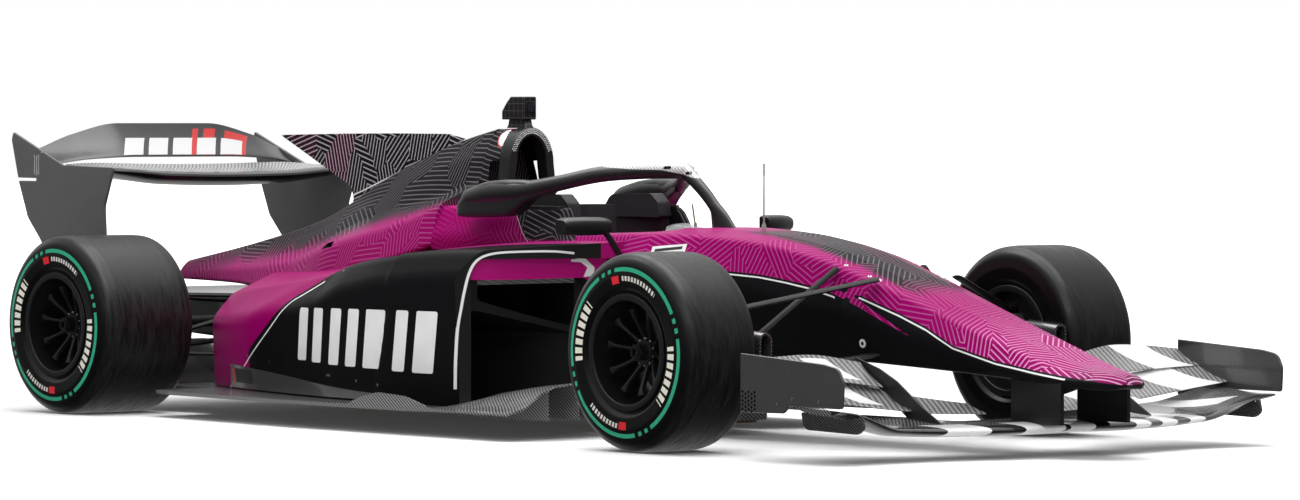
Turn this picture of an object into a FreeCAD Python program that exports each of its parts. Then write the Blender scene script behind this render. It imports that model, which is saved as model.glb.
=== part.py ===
"""Open wheel single-seater racing car with a carbon tub, halo, front and rear wings.

Frame: +X forward, +Y to the car's left, +Z up. The origin is on the ground, at the middle of the
car's length and width. All sizes are millimetres. Columns of each table are named above it.
Stations given with front_x() are measured forward from the front axle, and those given with
rear_x() forward from the rear axle, so that a change of wheelbase stretches the middle of the car.
"""
import FreeCAD
import Part
import math
import os

V = FreeCAD.Vector

# ---------------------------------------------------------------- driving dimensions
LENGTH = 5233.0
WHEELBASE = 3115.0
FRONT_OVERHANG = 1267.0
OVERALL_WIDTH = 1910.0
TYRE_RADIUS = 310.0
FRONT_TYRE_WIDTH = 300.0
REAR_TYRE_WIDTH = 400.0
RIM_RADIUS = 178.0
BARREL_WALL = 9.0
RIM_INSET = 14.0
DISC_RADIUS = 139.0
DISC_THICKNESS = 28.0
SPINDLE_RADIUS = 24.0
SPOKES = 10
KINGPIN_PIN_RADIUS = 8.0
BALL_JOINT_RISE = 102.0
FIT = 0.3
SEAM = 0.5
TYRE_CLEARANCE = 29.0
REF_PLANE_Z = 48.0
STEP_PLANE_Z = 92.0
PLANK_THICKNESS = 10.0
SKIN = 12.0

FRONT_AXLE_X = LENGTH / 2 - FRONT_OVERHANG
REAR_AXLE_X = FRONT_AXLE_X - WHEELBASE
REAR_END_X = -LENGTH / 2
AXLE_Z = TYRE_RADIUS
TYRE_OUTER_Y = OVERALL_WIDTH / 2
KINGPIN_Y = TYRE_OUTER_Y - 265
FRONT_HUB_Y = TYRE_OUTER_Y - 140
FRONT_DISC_Y = TYRE_OUTER_Y - 195
REAR_HUB_Y = TYRE_OUTER_Y - 185
REAR_DISC_Y = TYRE_OUTER_Y - 255
REAR_UPRIGHT_Y = TYRE_OUTER_Y - 327
FLOOR_REAR_Y = TYRE_OUTER_Y - REAR_TYRE_WIDTH - TYRE_CLEARANCE


def front_x(dx):
    """A station dx ahead of the front axle."""
    return FRONT_AXLE_X + dx


def rear_x(dx):
    """A station dx ahead of the rear axle."""
    return REAR_AXLE_X + dx


# ---------------------------------------------------------------- shape helpers
def fillet_wire(points, radii):
    """Closed wire of lines and arcs through planar points, with a radius at each corner."""
    count = len(points)
    starts, ends, mids = [], [], []
    for i in range(count):
        p, a, b = points[i], points[i - 1], points[(i + 1) % count]
        to_a, to_b = a - p, b - p
        len_a, len_b = to_a.Length, to_b.Length
        to_a.normalize()
        to_b.normalize()
        half = math.acos(max(-1.0, min(1.0, to_a.dot(to_b)))) / 2
        cut = radii[i] / math.tan(half) if half < math.pi / 2 - 1e-4 else 0.01
        cut = max(0.01, min(cut, 0.46 * len_a, 0.46 * len_b))
        radius = cut * math.tan(half)
        axis = to_a + to_b
        if axis.Length < 1e-6:
            axis = to_a
            radius = 0.0
        axis.normalize()
        centre = p + axis * (radius / math.sin(half))
        starts.append(p + to_a * cut)
        ends.append(p + to_b * cut)
        mids.append(centre - axis * radius if radius > 0 else p)
    edges = []
    for i in range(count):
        edges.append(Part.Arc(starts[i], mids[i], ends[i]).toShape())
        edges.append(Part.LineSegment(ends[i], starts[(i + 1) % count]).toShape())
    return Part.Wire(edges)


def half_section(x, corners):
    """Wire at station x from corners (y, z, radius) listed top to bottom, mirrored to -y."""
    left = [(y, z, r) for y, z, r in corners]
    right = [(-y, z, r) for y, z, r in reversed(corners)]
    ring = left + right
    return fillet_wire([V(x, y, z) for y, z, _ in ring], [r for _, _, r in ring])


def side_section(x, corners):
    """Wire at station x from the closed list of corners (y, z, radius) on one side."""
    return fillet_wire([V(x, y, z) for y, z, _ in corners], [r for _, _, r in corners])


def loft(wires, ruled=True):
    """Solid through the wires."""
    made = Part.makeLoft(wires, True, ruled)
    if made.Volume < 0:
        made.reverse()
    return made


def mirror_y(shape):
    """The same shape on the other side of the car."""
    return shape.mirror(V(0, 0, 0), V(0, 1, 0))


def pair(shape):
    """A right-hand shape and its mirrored twin, as separate solids of one node."""
    return [shape, mirror_y(shape)]


def box(x0, x1, y0, y1, z0, z1):
    """Box between two corners."""
    return Part.makeBox(x1 - x0, y1 - y0, z1 - z0, V(x0, y0, z0))


def cylinder(start, end, radius):
    """Cylinder from one point to another."""
    axis = end - start
    return Part.makeCylinder(radius, axis.Length, start, axis)


def strut(start, end, chord, thickness):
    """Bar of lens section between two points, its chord lying along the car."""
    along = end - start
    run = V(along)
    run.normalize()
    fore = V(1, 0, 0) - run * run.x
    fore.normalize()
    up = run.cross(fore)
    up.normalize()
    nose, tail = start + fore * (chord / 2), start - fore * (chord / 2)
    top, low = start + up * (thickness / 2), start - up * (thickness / 2)
    wire = Part.Wire([Part.Arc(nose, top, tail).toShape(), Part.Arc(tail, low, nose).toShape()])
    return Part.Face(wire).extrude(along)


def foil(y, lead_x, lead_z, chord, pitch, thick, camber):
    """Wing section in the plane y: nose at (lead_x, lead_z), chord trailing back and up by pitch degrees.

    Camber sags the middle of the section below its chord line, as a wing that pushes down has it.
    """
    turn = math.radians(pitch)
    back = V(-math.cos(turn), 0, math.sin(turn))
    up = V(math.sin(turn), 0, math.cos(turn))
    nose = V(lead_x, y, lead_z)

    def at(share, height):
        return nose + back * (chord * share) + up * height

    rise, edge = thick / 2, 1.6
    top_front, low_front = at(0.05, rise * 0.62), at(0.05, -rise * 0.62 - camber * 0.12)
    top_mid, low_mid = at(0.45, rise - camber), at(0.45, -rise - camber)
    top_tail, low_tail = at(1.0, edge), at(1.0, -edge)
    edges = [
        Part.Arc(low_front, at(0.0, -camber * 0.06), top_front).toShape(),
        Part.Arc(top_front, top_mid, top_tail).toShape(),
        Part.LineSegment(top_tail, low_tail).toShape(),
        Part.Arc(low_tail, low_mid, low_front).toShape(),
    ]
    return Part.Wire(edges)


def plate(points, y0, y1, radii=None):
    """Flat plate in the x-z plane, points (x, z), from y0 to y1."""
    radii = radii or [0.5] * len(points)
    wire = fillet_wire([V(x, y0, z) for x, z in points], radii)
    return Part.Face(wire).extrude(V(0, y1 - y0, 0))


def deck(points, z0, z1, radii=None):
    """Flat plate in the x-y plane, points (x, y), from z0 to z1."""
    radii = radii or [0.5] * len(points)
    wire = fillet_wire([V(x, y, z0) for x, y in points], radii)
    return Part.Face(wire).extrude(V(0, 0, z1 - z0))


def joined(shapes):
    """One solid from shapes that share volume."""
    made = shapes[0]
    for other in shapes[1:]:
        made = made.fuse(other)
    return made.removeSplitter()


def less(shape, *tools):
    """Shape with every tool cut away."""
    for tool in tools:
        shape = shape.cut(tool)
    return shape


def save(node, shapes):
    """Write one node: a solid or a list of solids that don't touch."""
    shapes = shapes if isinstance(shapes, list) else [shapes]
    solids = [s for shape in shapes for s in shape.Solids]
    solids = [s for s in solids if s.Volume > 5.0]
    whole = solids[0] if len(solids) == 1 else Part.makeCompound(solids)
    whole.exportStep(os.path.join("parts", node + ".step"))
    bad = [s for s in solids if not s.isValid() or s.Volume <= 0]
    print(f"{node:26s} solids {len(solids):2d} volume {sum(s.Volume for s in solids) / 1e6:9.3f} L {'BAD' if bad else ''}")
    return solids


# ---------------------------------------------------------------- tub and nose
# Columns: x ahead of the front axle, top z on the centre line, half width and z of the upper crease,
# greatest half width and its z, half width and z of the bottom edge.
NOSE_SECTIONS = [
    (1262, 246, 30, 238, 44, 226, 34, 208),
    (1215, 258, 86, 246, 108, 232, 96, 211),
    (1110, 276, 122, 262, 150, 240, 140, 221),
    (880, 343, 136, 328, 172, 262, 156, 238),
    (600, 434, 146, 416, 190, 330, 172, 254),
    (300, 533, 158, 512, 208, 400, 190, 268),
]
TUB_SECTIONS = [
    (300, 533, 158, 512, 208, 400, 190, 268),
    (0, 618, 176, 596, 226, 450, 206, 274),
    (-300, 662, 200, 642, 246, 500, 222, 262),
    (-600, 676, 228, 657, 272, 560, 240, 170),
    (-1090, 668, 256, 650, 300, 600, 262, STEP_PLANE_Z + SEAM),
    (-1165, 742, 258, 734, 304, 640, 266, STEP_PLANE_Z + SEAM),
    (-1790, 742, 270, 734, 322, 630, 268, STEP_PLANE_Z + SEAM),
]

def body_section(row, grow=0.0):
    """Section of the tub or nose; grow moves every face out, or in when negative."""
    x, top, crease_y, crease_z, side_y, side_z, low_y, low_z = row
    return half_section(
        front_x(x),
        [
            (crease_y * 0.45 + grow, top + grow, 40),
            (crease_y + grow, crease_z + grow, 30),
            (side_y + grow, side_z, 90),
            (low_y + grow, low_z - grow, 16),
        ],
    )


def make_tub():
    outer = loft([body_section(r) for r in TUB_SECTIONS])
    cavity = loft(
        [
            side_section(front_x(x), [(w, z1, 30), (w, z0, 60), (-w, z0, 60), (-w, z1, 30)])
            for x, w, z0, z1 in COCKPIT_SECTIONS
        ]
    )
    return outer.cut(cavity)


# Columns: x ahead of the front axle, half width, lowest and highest z of the space cut for the driver.
COCKPIT_SECTIONS = [
    (-300, 120, 330, 470),
    (-700, 165, 300, 560),
    (-720, 190, 250, 900),
    (-1000, 225, 150, 900),
    (-1600, 225, 150, 900),
]


def make_nose():
    return loft([body_section(r) for r in NOSE_SECTIONS])


# ---------------------------------------------------------------- front wing
PYLON_Y = 140.0
PYLON_THICKNESS = 14.0
PYLON_FRONT, PYLON_REAR = 1101.0, 881.0
ENDPLATE_Y = TYRE_OUTER_Y - TYRE_CLEARANCE
ENDPLATE_THICKNESS = 10.0

FRONT_SPAN = ENDPLATE_Y - ENDPLATE_THICKNESS / 2 - FIT
# Columns: share of the half span, nose x ahead of the front axle, nose z, chord, pitch, thickness, camber.
MAIN_PLANE = [
    (0, 1030, 92, 250, 4, 22, 8),
    (0.261, 1020, 90, 250, 4, 22, 8),
    (0.456, 985, 90, 260, 7, 22, 14),
    (0.701, 948, 96, 260, 9, 22, 18),
    (0.923, 963, 152, 250, 6, 18, 16),
    (1.0, 965, 162, 245, 5, 16, 14),
]
LOWER_FLAP = [
    (0.179, 792, 128, 90, 18, 9, 5),
    (0.348, 775, 132, 120, 22, 11, 8),
    (0.565, 745, 150, 150, 26, 13, 12),
    (0.825, 745, 178, 150, 24, 13, 12),
    (1.0, 750, 196, 140, 20, 12, 10),
]
UPPER_FLAP = [
    (0.494, 640, 212, 130, 34, 11, 10),
    (0.673, 628, 232, 140, 34, 12, 12),
    (0.847, 622, 240, 135, 30, 12, 12),
    (1.0, 624, 244, 115, 26, 11, 10),
]


def span_wire(row, sign=1):
    share, x, z, chord, pitch, thick, camber = row
    return foil(sign * share * FRONT_SPAN, front_x(x), z, chord, pitch, thick, camber)


def make_main_plane():
    rows = [span_wire(r, -1) for r in reversed(MAIN_PLANE)] + [span_wire(r) for r in MAIN_PLANE[1:]]
    return loft(rows)


def make_flaps():
    flaps = []
    for table in (LOWER_FLAP, UPPER_FLAP):
        flaps += pair(loft([span_wire(r, -1) for r in table]))
    return flaps


def make_front_endplate():
    """Right endplate: a plate whose front turns inward, with a foot board at its base."""
    outline = [(523, 325), (523, 146), (722, 149), (745, 172), (985, 172), (990, 250), (968, 292), (900, 303)]
    radii = [3, 6, 22, 14, 8, 40, 40, 60]
    board = plate(
        [(front_x(x), z) for x, z in outline],
        -ENDPLATE_Y - ENDPLATE_THICKNESS / 2,
        -ENDPLATE_Y + ENDPLATE_THICKNESS / 2,
        radii,
    )
    return board


def make_strake():
    """Right under-wing fence, a vertical board below the main plane."""
    outline = [(700, 150), (712, 98), (960, 92), (985, 112), (975, 150)]
    return plate([(front_x(x), z) for x, z in outline], -ENDPLATE_Y + 84, -ENDPLATE_Y + 92, [4, 30, 40, 16, 4])


def make_bracket():
    """Right flap adjuster: a stepped plate that runs from the upper flap down to the main plane."""
    outline = [(500, 300), (520, 262), (640, 190), (770, 100), (880, 84), (890, 110), (800, 160), (690, 232), (610, 268)]
    return plate([(front_x(x), z) for x, z in outline], -ENDPLATE_Y + 480, -ENDPLATE_Y + 486)


def make_pylon():
    """Right nose pylon, from the main plane up into the nose's underside."""
    outline = [(PYLON_FRONT, 104), (PYLON_FRONT, 290), (PYLON_REAR, 290), (PYLON_REAR, 104)]
    return plate(
        [(front_x(x), z) for x, z in outline], -PYLON_Y - PYLON_THICKNESS / 2, -PYLON_Y + PYLON_THICKNESS / 2
    )


# ---------------------------------------------------------------- halo, cockpit fittings
# Columns: x ahead of the front axle, y to the right, z, tube radius.
HALO_PATH = [
    (-1640, 322, 742, 28),
    (-1560, 330, 762, 36),
    (-1440, 331, 779, 43),
    (-1340, 328, 786, 40),
    (-1270, 310, 794, 32),
    (-1168, 265, 817, 26),
    (-1056, 184, 846, 26),
    (-950, 91, 857, 26),
    (-860, 22, 859, 26),
    (-842, 0, 859, 26),
]


def ring(point, ahead, radius):
    return Part.Wire([Part.makeCircle(radius, point, ahead)])


def make_halo():
    right = [(V(front_x(x), -y, z), r) for x, y, z, r in HALO_PATH]
    path = right + [(V(p.x, -p.y, p.z), r) for p, r in reversed(right[:-1])]
    wires = []
    for i, (p, r) in enumerate(path):
        before = path[max(0, i - 1)][0]
        after = path[min(len(path) - 1, i + 1)][0]
        wires.append(ring(p, after - before, r))
    hoop = loft(wires, ruled=True)
    # Columns: x of the front and back of the pillar, half width, z.
    pillar_rows = [(-552, -692, 17, 650), (-628, -706, 15, 722), (-702, -766, 15, 780), (-786, -872, 17, 862)]
    pillar = loft(
        [
            fillet_wire(
                [V(front_x(a), w, z), V(front_x(b), w * 0.7, z), V(front_x(b), -w * 0.7, z), V(front_x(a), -w, z)],
                [w * 0.9, w * 0.6, w * 0.6, w * 0.9],
            )
            for a, b, w, z in pillar_rows
        ]
    )
    feet = [
        loft(
            [
                fillet_wire(
                    [V(front_x(x0), side * y0, z), V(front_x(x1), side * y0, z),
                     V(front_x(x1), side * y1, z), V(front_x(x0), side * y1, z)], [10] * 4
                )
                for x0, x1, y0, y1, z in ((-1700, -1490, 270, 340, 690), (-1690, -1500, 280, 342, 752))
            ]
        )
        for side in (-1, 1)
    ]
    return joined([hoop, pillar] + feet)


def make_surround():
    """Padded collar round the driver's head, a U open to the front with raised cheeks."""
    outline = [(-1170, 262), (-1590, 262), (-1590, -262), (-1170, -262), (-1200, -196), (-1400, -172), (-1470, -110),
               (-1470, 110), (-1400, 172), (-1200, 196)]
    base = deck([(front_x(x), y) for x, y in outline], 590, 740, [10, 30, 30, 10, 20, 60, 50, 50, 60, 20])
    cheek = plate([(front_x(-1172), 700), (front_x(-1182), 750), (front_x(-1220), 780), (front_x(-1430), 776),
                   (front_x(-1490), 700)], -222, -168, [6, 20, 24, 50, 20])
    return joined([base, cheek, mirror_y(cheek)])


def make_seat():
    """Moulded seat shell: pan, back and side bolsters as one lofted shell."""
    back = [(-1470, 300), (-1350, 190), (-1020, 175), (-760, 215), (-760, 240), (-1010, 205), (-1320, 225),
            (-1420, 340), (-1500, 560), (-1530, 560)]
    return plate([(front_x(x), z) for x, z in back], -150, 150, [30, 60, 60, 6, 6, 60, 60, 40, 6, 6])


# ---------------------------------------------------------------- steering
WHEEL_HUB = V(front_x(-835), 0, 590)
COLUMN_FALL = 14.0


def column_axis():
    turn = math.radians(COLUMN_FALL)
    return V(math.cos(turn), 0, -math.sin(turn))


def make_column():
    start = WHEEL_HUB + column_axis() * 34
    return cylinder(start, start + column_axis() * 420, 14)


def make_steering_wheel():
    """Yoke wheel: a rounded plate with two hand grips, square to the column."""
    axis = column_axis()
    up = V(math.sin(math.radians(COLUMN_FALL)), 0, math.cos(math.radians(COLUMN_FALL)))
    side = V(0, 1, 0)

    def at(y, z, depth=0.0):
        return WHEEL_HUB + side * y + up * z + axis * depth

    outline = [(-95, 58), (95, 58), (118, 10), (95, -62), (-95, -62), (-118, 10)]
    panel = Part.Face(fillet_wire([at(y, z) for y, z in outline], [20] * 6)).extrude(axis * 24)
    grips = [cylinder(at(s * 118, -62, 12), at(s * 118, 66, 12), 16) for s in (-1, 1)]
    boss = cylinder(WHEEL_HUB + axis * 24, WHEEL_HUB + axis * 33, 24)
    return joined([panel, boss] + grips)


# ---------------------------------------------------------------- engine cover, air box, fin
# Columns: x ahead of the front axle when the station is 'f' or ahead of the rear axle when 'r',
# then half width and z at the ridge, neck, waist, shoulder and skirt.
COVER_SECTIONS = [
    ("f", -1790, (40, 994), (86, 905), (112, 810), (286, 738), (326, 600)),
    ("f", -1960, (28, 962), (78, 880), (120, 770), (286, 690), (330, 560)),
    ("r", 715, (24, 830), (64, 770), (128, 680), (262, 600), (300, 470)),
    ("r", 315, (20, 672), (54, 630), (108, 570), (178, 520), (222, 420)),
    ("r", -85, (18, 584), (46, 556), (80, 520), (112, 490), (130, 440)),
    ("r", -500, (16, 512), (34, 500), (48, 486), (60, 468), (70, 446)),
]


def station(kind, x):
    return front_x(x) if kind == "f" else rear_x(x)


def cover_section(row, grow=0.0, along=0.0):
    kind, x, ridge, neck, waist, shoulder, skirt = row
    return half_section(
        station(kind, x) + along,
        [
            (ridge[0] + grow, ridge[1] + grow, 22),
            (neck[0] + grow, neck[1] + grow * 0.5, 60),
            (waist[0] + grow, waist[1] + grow, 50),
            (shoulder[0] + grow, shoulder[1] + grow, 60),
            (skirt[0] + grow, skirt[1], 12 - abs(grow)),
        ],
    )


# Columns: x ahead of the front axle, then half width and z of the spine at its ridge, neck, waist and foot.
SPINE_SECTIONS = [
    (-1792, (40, 994), (86, 905), (112, 810), (124, 700)),
    (-1704, (44, 996), (94, 905), (110, 810), (120, 700)),
]


def spine_section(row, grow=0.0, along=0.0):
    x, ridge, neck, waist, foot = row
    return half_section(
        front_x(x) + along,
        [(ridge[0] + grow, ridge[1] + grow, 22), (neck[0] + grow, neck[1] + grow * 0.5, 60),
         (waist[0] + grow, waist[1] + grow, 50), (foot[0] + grow, foot[1] - 4 * abs(grow), 4)],
    )


def make_cover():
    """Engine cover with the spine that runs forward from it to the roll hoop."""
    outer = joined([loft([cover_section(r) for r in COVER_SECTIONS]), loft([spine_section(r) for r in SPINE_SECTIONS])])
    last = len(COVER_SECTIONS) - 1
    inner = loft([cover_section(r, -SKIN, 3.0 if i == 0 else -3.0 if i == last else 0.0)
                  for i, r in enumerate(COVER_SECTIONS)])
    spine = loft([spine_section(r, -SKIN, 3.0 if i else -3.0) for i, r in enumerate(SPINE_SECTIONS)])
    return outer.cut(inner).cut(spine)


HOOP_FRONT, HOOP_DEPTH, DUCT_REAR = -1645.0, 56.0, -1800.0
# Columns: half width, z, corner radius, up one side of the arch.
HOOP_OUTER = [(112, 690, 2), (106, 800, 60), (97, 880, 60), (82, 950, 50), (48, 998, 40)]
HOOP_INNER = [(80, 690, 2), (74, 800, 60), (64, 890, 60), (50, 945, 40), (26, 978, 30)]
DUCT_FLOOR = 900.0


def arch(rows, x0, x1, floor=None):
    """Arch-shaped prism from station x0 back to x1, cut level at floor when given."""
    corners = rows if floor is None else [(rows[2][0], floor, 14)] + rows[2:]
    ring_points = corners + [(-y, z, r) for y, z, r in reversed(corners)]
    wire = fillet_wire([V(front_x(x0), y, z) for y, z, _ in ring_points], [r for _, _, r in ring_points])
    return Part.Face(wire).extrude(V(x1 - x0, 0, 0))


def make_air_box():
    """Roll hoop on two legs, with the engine's air duct running back from its upper half."""
    hoop = arch(HOOP_OUTER, HOOP_FRONT, HOOP_FRONT - HOOP_DEPTH).cut(
        arch(HOOP_INNER, HOOP_FRONT + 1, HOOP_FRONT - HOOP_DEPTH - 1)
    )
    duct = arch(HOOP_OUTER, HOOP_FRONT - 10, DUCT_REAR, DUCT_FLOOR - 14).cut(
        arch(HOOP_INNER, HOOP_FRONT + 1, DUCT_REAR + 20, DUCT_FLOOR)
    )
    return joined([hoop, duct])


FIN_THICKNESS = 12.0


def make_fin():
    outline = [(-1990, 955), (-2104, 976), (-3072, 969), (-2655, 790), (-2640, 745), (-2690, 640), (-2400, 760), (-2010, 900)]
    points = [(front_x(x) if x > -2200 else rear_x(x + 3115), z) for x, z in outline]
    return plate(points, -FIN_THICKNESS / 2, FIN_THICKNESS / 2, [30, 60, 3, 20, 30, 1, 1, 1])


def make_camera():
    post = box(front_x(-1756), front_x(-1662), -17, 17, 985, 1040)
    body = loft(
        [
            side_section(front_x(-1656), [(28, 1104, 6), (28, 1026, 6), (-28, 1026, 6), (-28, 1104, 6)]),
            side_section(front_x(-1728), [(28, 1104, 6), (28, 1026, 6), (-28, 1026, 6), (-28, 1104, 6)]),
            side_section(front_x(-1776), [(26, 1056, 6), (26, 1026, 6), (-26, 1026, 6), (-26, 1056, 6)]),
        ]
    )
    return joined([post, body])


# ---------------------------------------------------------------- sidepods
# Columns: station kind, x, top z inboard, shoulder |y| and z, outer |y| and z, |y| at the floor.
POD_SECTIONS = [
    ("f", -700, 622, 640, 604, 716, 520, 700),
    ("f", -1150, 622, 660, 600, 727, 520, 712),
    ("f", -1500, 604, 670, 584, 735, 500, 722),
    ("f", -1800, 570, 640, 552, 722, 460, 706),
    ("r", 1115, 544, 590, 508, 692, 410, 676),
    ("r", 800, 526, 500, 474, 620, 380, 606),
    ("r", 340, 492, 390, 428, 482, 330, 470),
    ("r", 240, 484, 360, 414, 446, 330, 436),
]
POD_ROOT_Y = 150.0
POD_LIP = [(-860, -300), (-1150, -740)]
POD_BOARD_IN = 680.0


def pod_section(row):
    kind, x, top_in, shoulder_y, shoulder_z, outer_y, outer_z, low_y = row
    return side_section(
        station(kind, x),
        [
            (-POD_ROOT_Y, top_in + 14, 4), (-shoulder_y, shoulder_z, 60), (-outer_y, outer_z, 60),
            (-low_y, STEP_PLANE_Z + SEAM, 10), (-POD_ROOT_Y, STEP_PLANE_Z + SEAM, 4),
        ],
    )


def make_pod():
    """Right sidepod: a swept shelf over the inlet and an outer board that stands off the undercut flank."""
    pod = loft([pod_section(r) for r in POD_SECTIONS])
    (x_in, y_in), (x_out, y_out) = POD_LIP
    slope = (x_out - x_in) / (y_out - y_in)

    def lip_x(y, back=0.0):
        return front_x(x_in + slope * (y - y_in) - back)

    def across(outline, back, back_in=None):
        """Ring in the slanted plane of the lip, moved back; back_in is its distance at the inner end."""
        y_a, y_b = -POD_BOARD_IN, -300
        slant = 0.0 if back_in is None else (back_in - back) / (y_b - y_a)
        return fillet_wire(
            [V(lip_x(y, back + slant * (y - y_a)), y, z) for y, z, _ in outline], [r for _, _, r in outline]
        )

    low = STEP_PLANE_Z - 20
    ahead = deck([(lip_x(-100), -100), (lip_x(-800), -800), (front_x(-600), -800), (front_x(-600), -100)], 0, 800)
    shelf = [(-200, 576, 10), (-POD_BOARD_IN, 573, 78), (-POD_BOARD_IN, 470, 4), (-200, 470, 4)]
    mouth = [(-200, 505, 4), (-POD_BOARD_IN, 505, 4), (-POD_BOARD_IN, low, 4), (-200, low, 4)]
    throat = [(-340, 512, 20), (-640, 503, 26), (-642, 438, 22), (-480, 387, 200), (-340, 348, 20)]
    under_front = [(-290, 330, 30), (-POD_BOARD_IN, 415, 30), (-POD_BOARD_IN, low, 4), (-290, low, 4)]
    under_rear = [(-560, 320, 30), (-POD_BOARD_IN, 355, 30), (-POD_BOARD_IN, low, 4), (-560, low, 4)]
    return less(
        pod, ahead,
        loft([across(shelf, -60), across(shelf, 16, 44)]), loft([across(mouth, -60), across(mouth, 36, 122)]),
        loft([across(throat, 0), across(throat, 350)]), loft([across(under_front, 20), across(under_rear, 430)]),
    )


# ---------------------------------------------------------------- floor, plank, diffuser
FLOOR_Y = TYRE_OUTER_Y - 95
TUNNEL_REAR = -1180.0
# Columns: x ahead of the front axle, |y|. Ahead of TUNNEL_REAR only the narrow centre runs on.
FLOOR_OUTLINE = [(-620, 236), (-1150, 296), (-1172, 330), (-1172, FLOOR_Y), (-1900, FLOOR_Y), (-2640, FLOOR_Y - 54),
                 (-2760, FLOOR_Y - 80), (-2770, FLOOR_REAR_Y + 2), (-3100, FLOOR_REAR_Y)]
# The raised lip over each tunnel's mouth. Columns: |y|, x of its front edge ahead of the front axle, z there.
TUNNEL_LIP = [(302, -800, 160), (400, -735, 172), (500, -690, 180), (620, -665, 184), (690, -668, 176), (740, -674, 154),
              (800, -684, 108), (FLOOR_Y, -700, 90)]
# Columns: |y| of a fence inside the tunnel, x of its front.
TUNNEL_FENCES = [(430, -745), (560, -705), (690, -700)]
EDGE_VANE = [(-1570, 82), (-1480, 116), (-1377, 136), (-1232, 128), (-1120, 100), (-1080, 82)]


def lip_height(y, x):
    """Height of the tunnel's roof at a station ahead of the front axle."""
    rows = [r for r in TUNNEL_LIP]
    for (y0, x0, z0), (y1, x1, z1) in zip(rows, rows[1:]):
        if y0 <= y <= y1:
            share = (y - y0) / (y1 - y0)
            front, top = x0 + (x1 - x0) * share, z0 + (z1 - z0) * share
            run = (x - TUNNEL_REAR) / (front - TUNNEL_REAR)
            return STEP_PLANE_Z + (top - STEP_PLANE_Z) * run * (1.6 - 0.6 * run)
    return STEP_PLANE_Z


def make_tunnel_lip():
    """Right tunnel roof: a sheet that rises from the floor tray to the lip, with the fences under it."""
    wires = []
    for y, front, _ in TUNNEL_LIP:
        xs = [front, front + (TUNNEL_REAR - front) * 0.25, front + (TUNNEL_REAR - front) * 0.55, TUNNEL_REAR]
        top = [V(front_x(x), -y, lip_height(y, x) - (1 if i == 3 else 0)) for i, x in enumerate(xs)]
        low = [V(p.x, p.y, p.z - (SKIN - 2 if i == 3 else 7)) for i, p in enumerate(top)]
        wires.append(Part.makePolygon(top + low[::-1] + [top[0]]))
    roof = Part.makeLoft(wires, True, True)
    fences = [
        plate([(front_x(x0), 62), (front_x(x0), lip_height(y, x0) - 3), (front_x(-920), lip_height(y, -920) - 3),
               (front_x(TUNNEL_REAR - 6), STEP_PLANE_Z - 3), (front_x(TUNNEL_REAR - 6), 62)], -y - 2, -y + 2)
        for y, x0 in TUNNEL_FENCES
    ]
    return biggest(joined([roof] + fences))


def make_floor():
    points = [(front_x(x) if x > -1500 else rear_x(x + 3115), y) for x, y in FLOOR_OUTLINE]
    ring_points = points + [(x, -y) for x, y in reversed(points)]
    radii = [30, 30, 20, 6, 60, 60, 40, 6, 6]
    tray = deck(ring_points, STEP_PLANE_Z - SKIN, STEP_PLANE_Z, radii + radii[::-1])
    keel_points = [(front_x(-560), 120), (front_x(-800), 232), (rear_x(200), 232), (rear_x(200), -232),
                   (front_x(-800), -232), (front_x(-560), -120)]
    keel = deck(keel_points, REF_PLANE_Z, STEP_PLANE_Z - SKIN + 2, [20] * 6)
    vane = plate([(front_x(x), z) for x, z in EDGE_VANE], -FLOOR_Y, -FLOOR_Y + 4, [2, 60, 90, 90, 60, 2])
    lip = make_tunnel_lip()
    return joined([tray, keel, vane, mirror_y(vane), lip, mirror_y(lip)])


def make_plank():
    points = [(front_x(-600), 110), (front_x(-700), 150), (rear_x(180), 150), (rear_x(180), -150), (front_x(-700), -150),
              (front_x(-600), -110)]
    return deck(points, REF_PLANE_Z - PLANK_THICKNESS, REF_PLANE_Z, [20] * 6)


def make_diffuser():
    outline = [(15 - FIT, 74), (15 - FIT, 91), (-450, 230), (-450, 216)]
    roof = plate([(rear_x(x), z) for x, z in outline], -FLOOR_REAR_Y, FLOOR_REAR_Y)
    walls = [
        plate([(rear_x(14), 66), (rear_x(14), 88), (rear_x(-450), 230), (rear_x(-450), 110), (rear_x(-150), 62)], y - 3, y + 3)
        for y in (-FLOOR_REAR_Y + 3, -0.63 * FLOOR_REAR_Y, -150, 150, 0.63 * FLOOR_REAR_Y, FLOOR_REAR_Y - 3)
    ]
    return joined([roof] + walls)


# ---------------------------------------------------------------- power unit
def make_engine():
    return box(front_x(-2230), front_x(-1790) - SEAM, -190, 190, STEP_PLANE_Z + SEAM, 520)


def make_gearbox():
    return loft(
        [
            side_section(front_x(-2230) - SEAM, [(150, 460, 20), (150, 100, 20), (-150, 100, 20), (-150, 460, 20)]),
            side_section(rear_x(150), [(90, 400, 20), (90, 120, 20), (-90, 120, 20), (-90, 400, 20)]),
            side_section(rear_x(-230), [(80, 392, 20), (80, 180, 20), (-80, 180, 20), (-80, 392, 20)]),
        ]
    )


def make_crash_structure():
    body = loft(
        [
            side_section(rear_x(-230) - SEAM, [(70, 380, 16), (70, 240, 16), (-70, 240, 16), (-70, 380, 16)]),
            side_section(rear_x(-720), [(46, 376, 14), (46, 262, 14), (-46, 262, 14), (-46, 376, 14)]),
        ]
    )
    socket = cylinder(V(rear_x(-720) - 1, 0, STARTER_Z), V(rear_x(-720) + STARTER_DEPTH, 0, STARTER_Z), STARTER_RADIUS)
    return body.cut(socket)


# ---------------------------------------------------------------- rear wing
REAR_PLATE_Y = FLOOR_REAR_Y + 14
REAR_PLATE_THICKNESS = 12.0
REAR_SPAN = REAR_PLATE_Y - REAR_PLATE_THICKNESS / 2 - FIT
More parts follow.
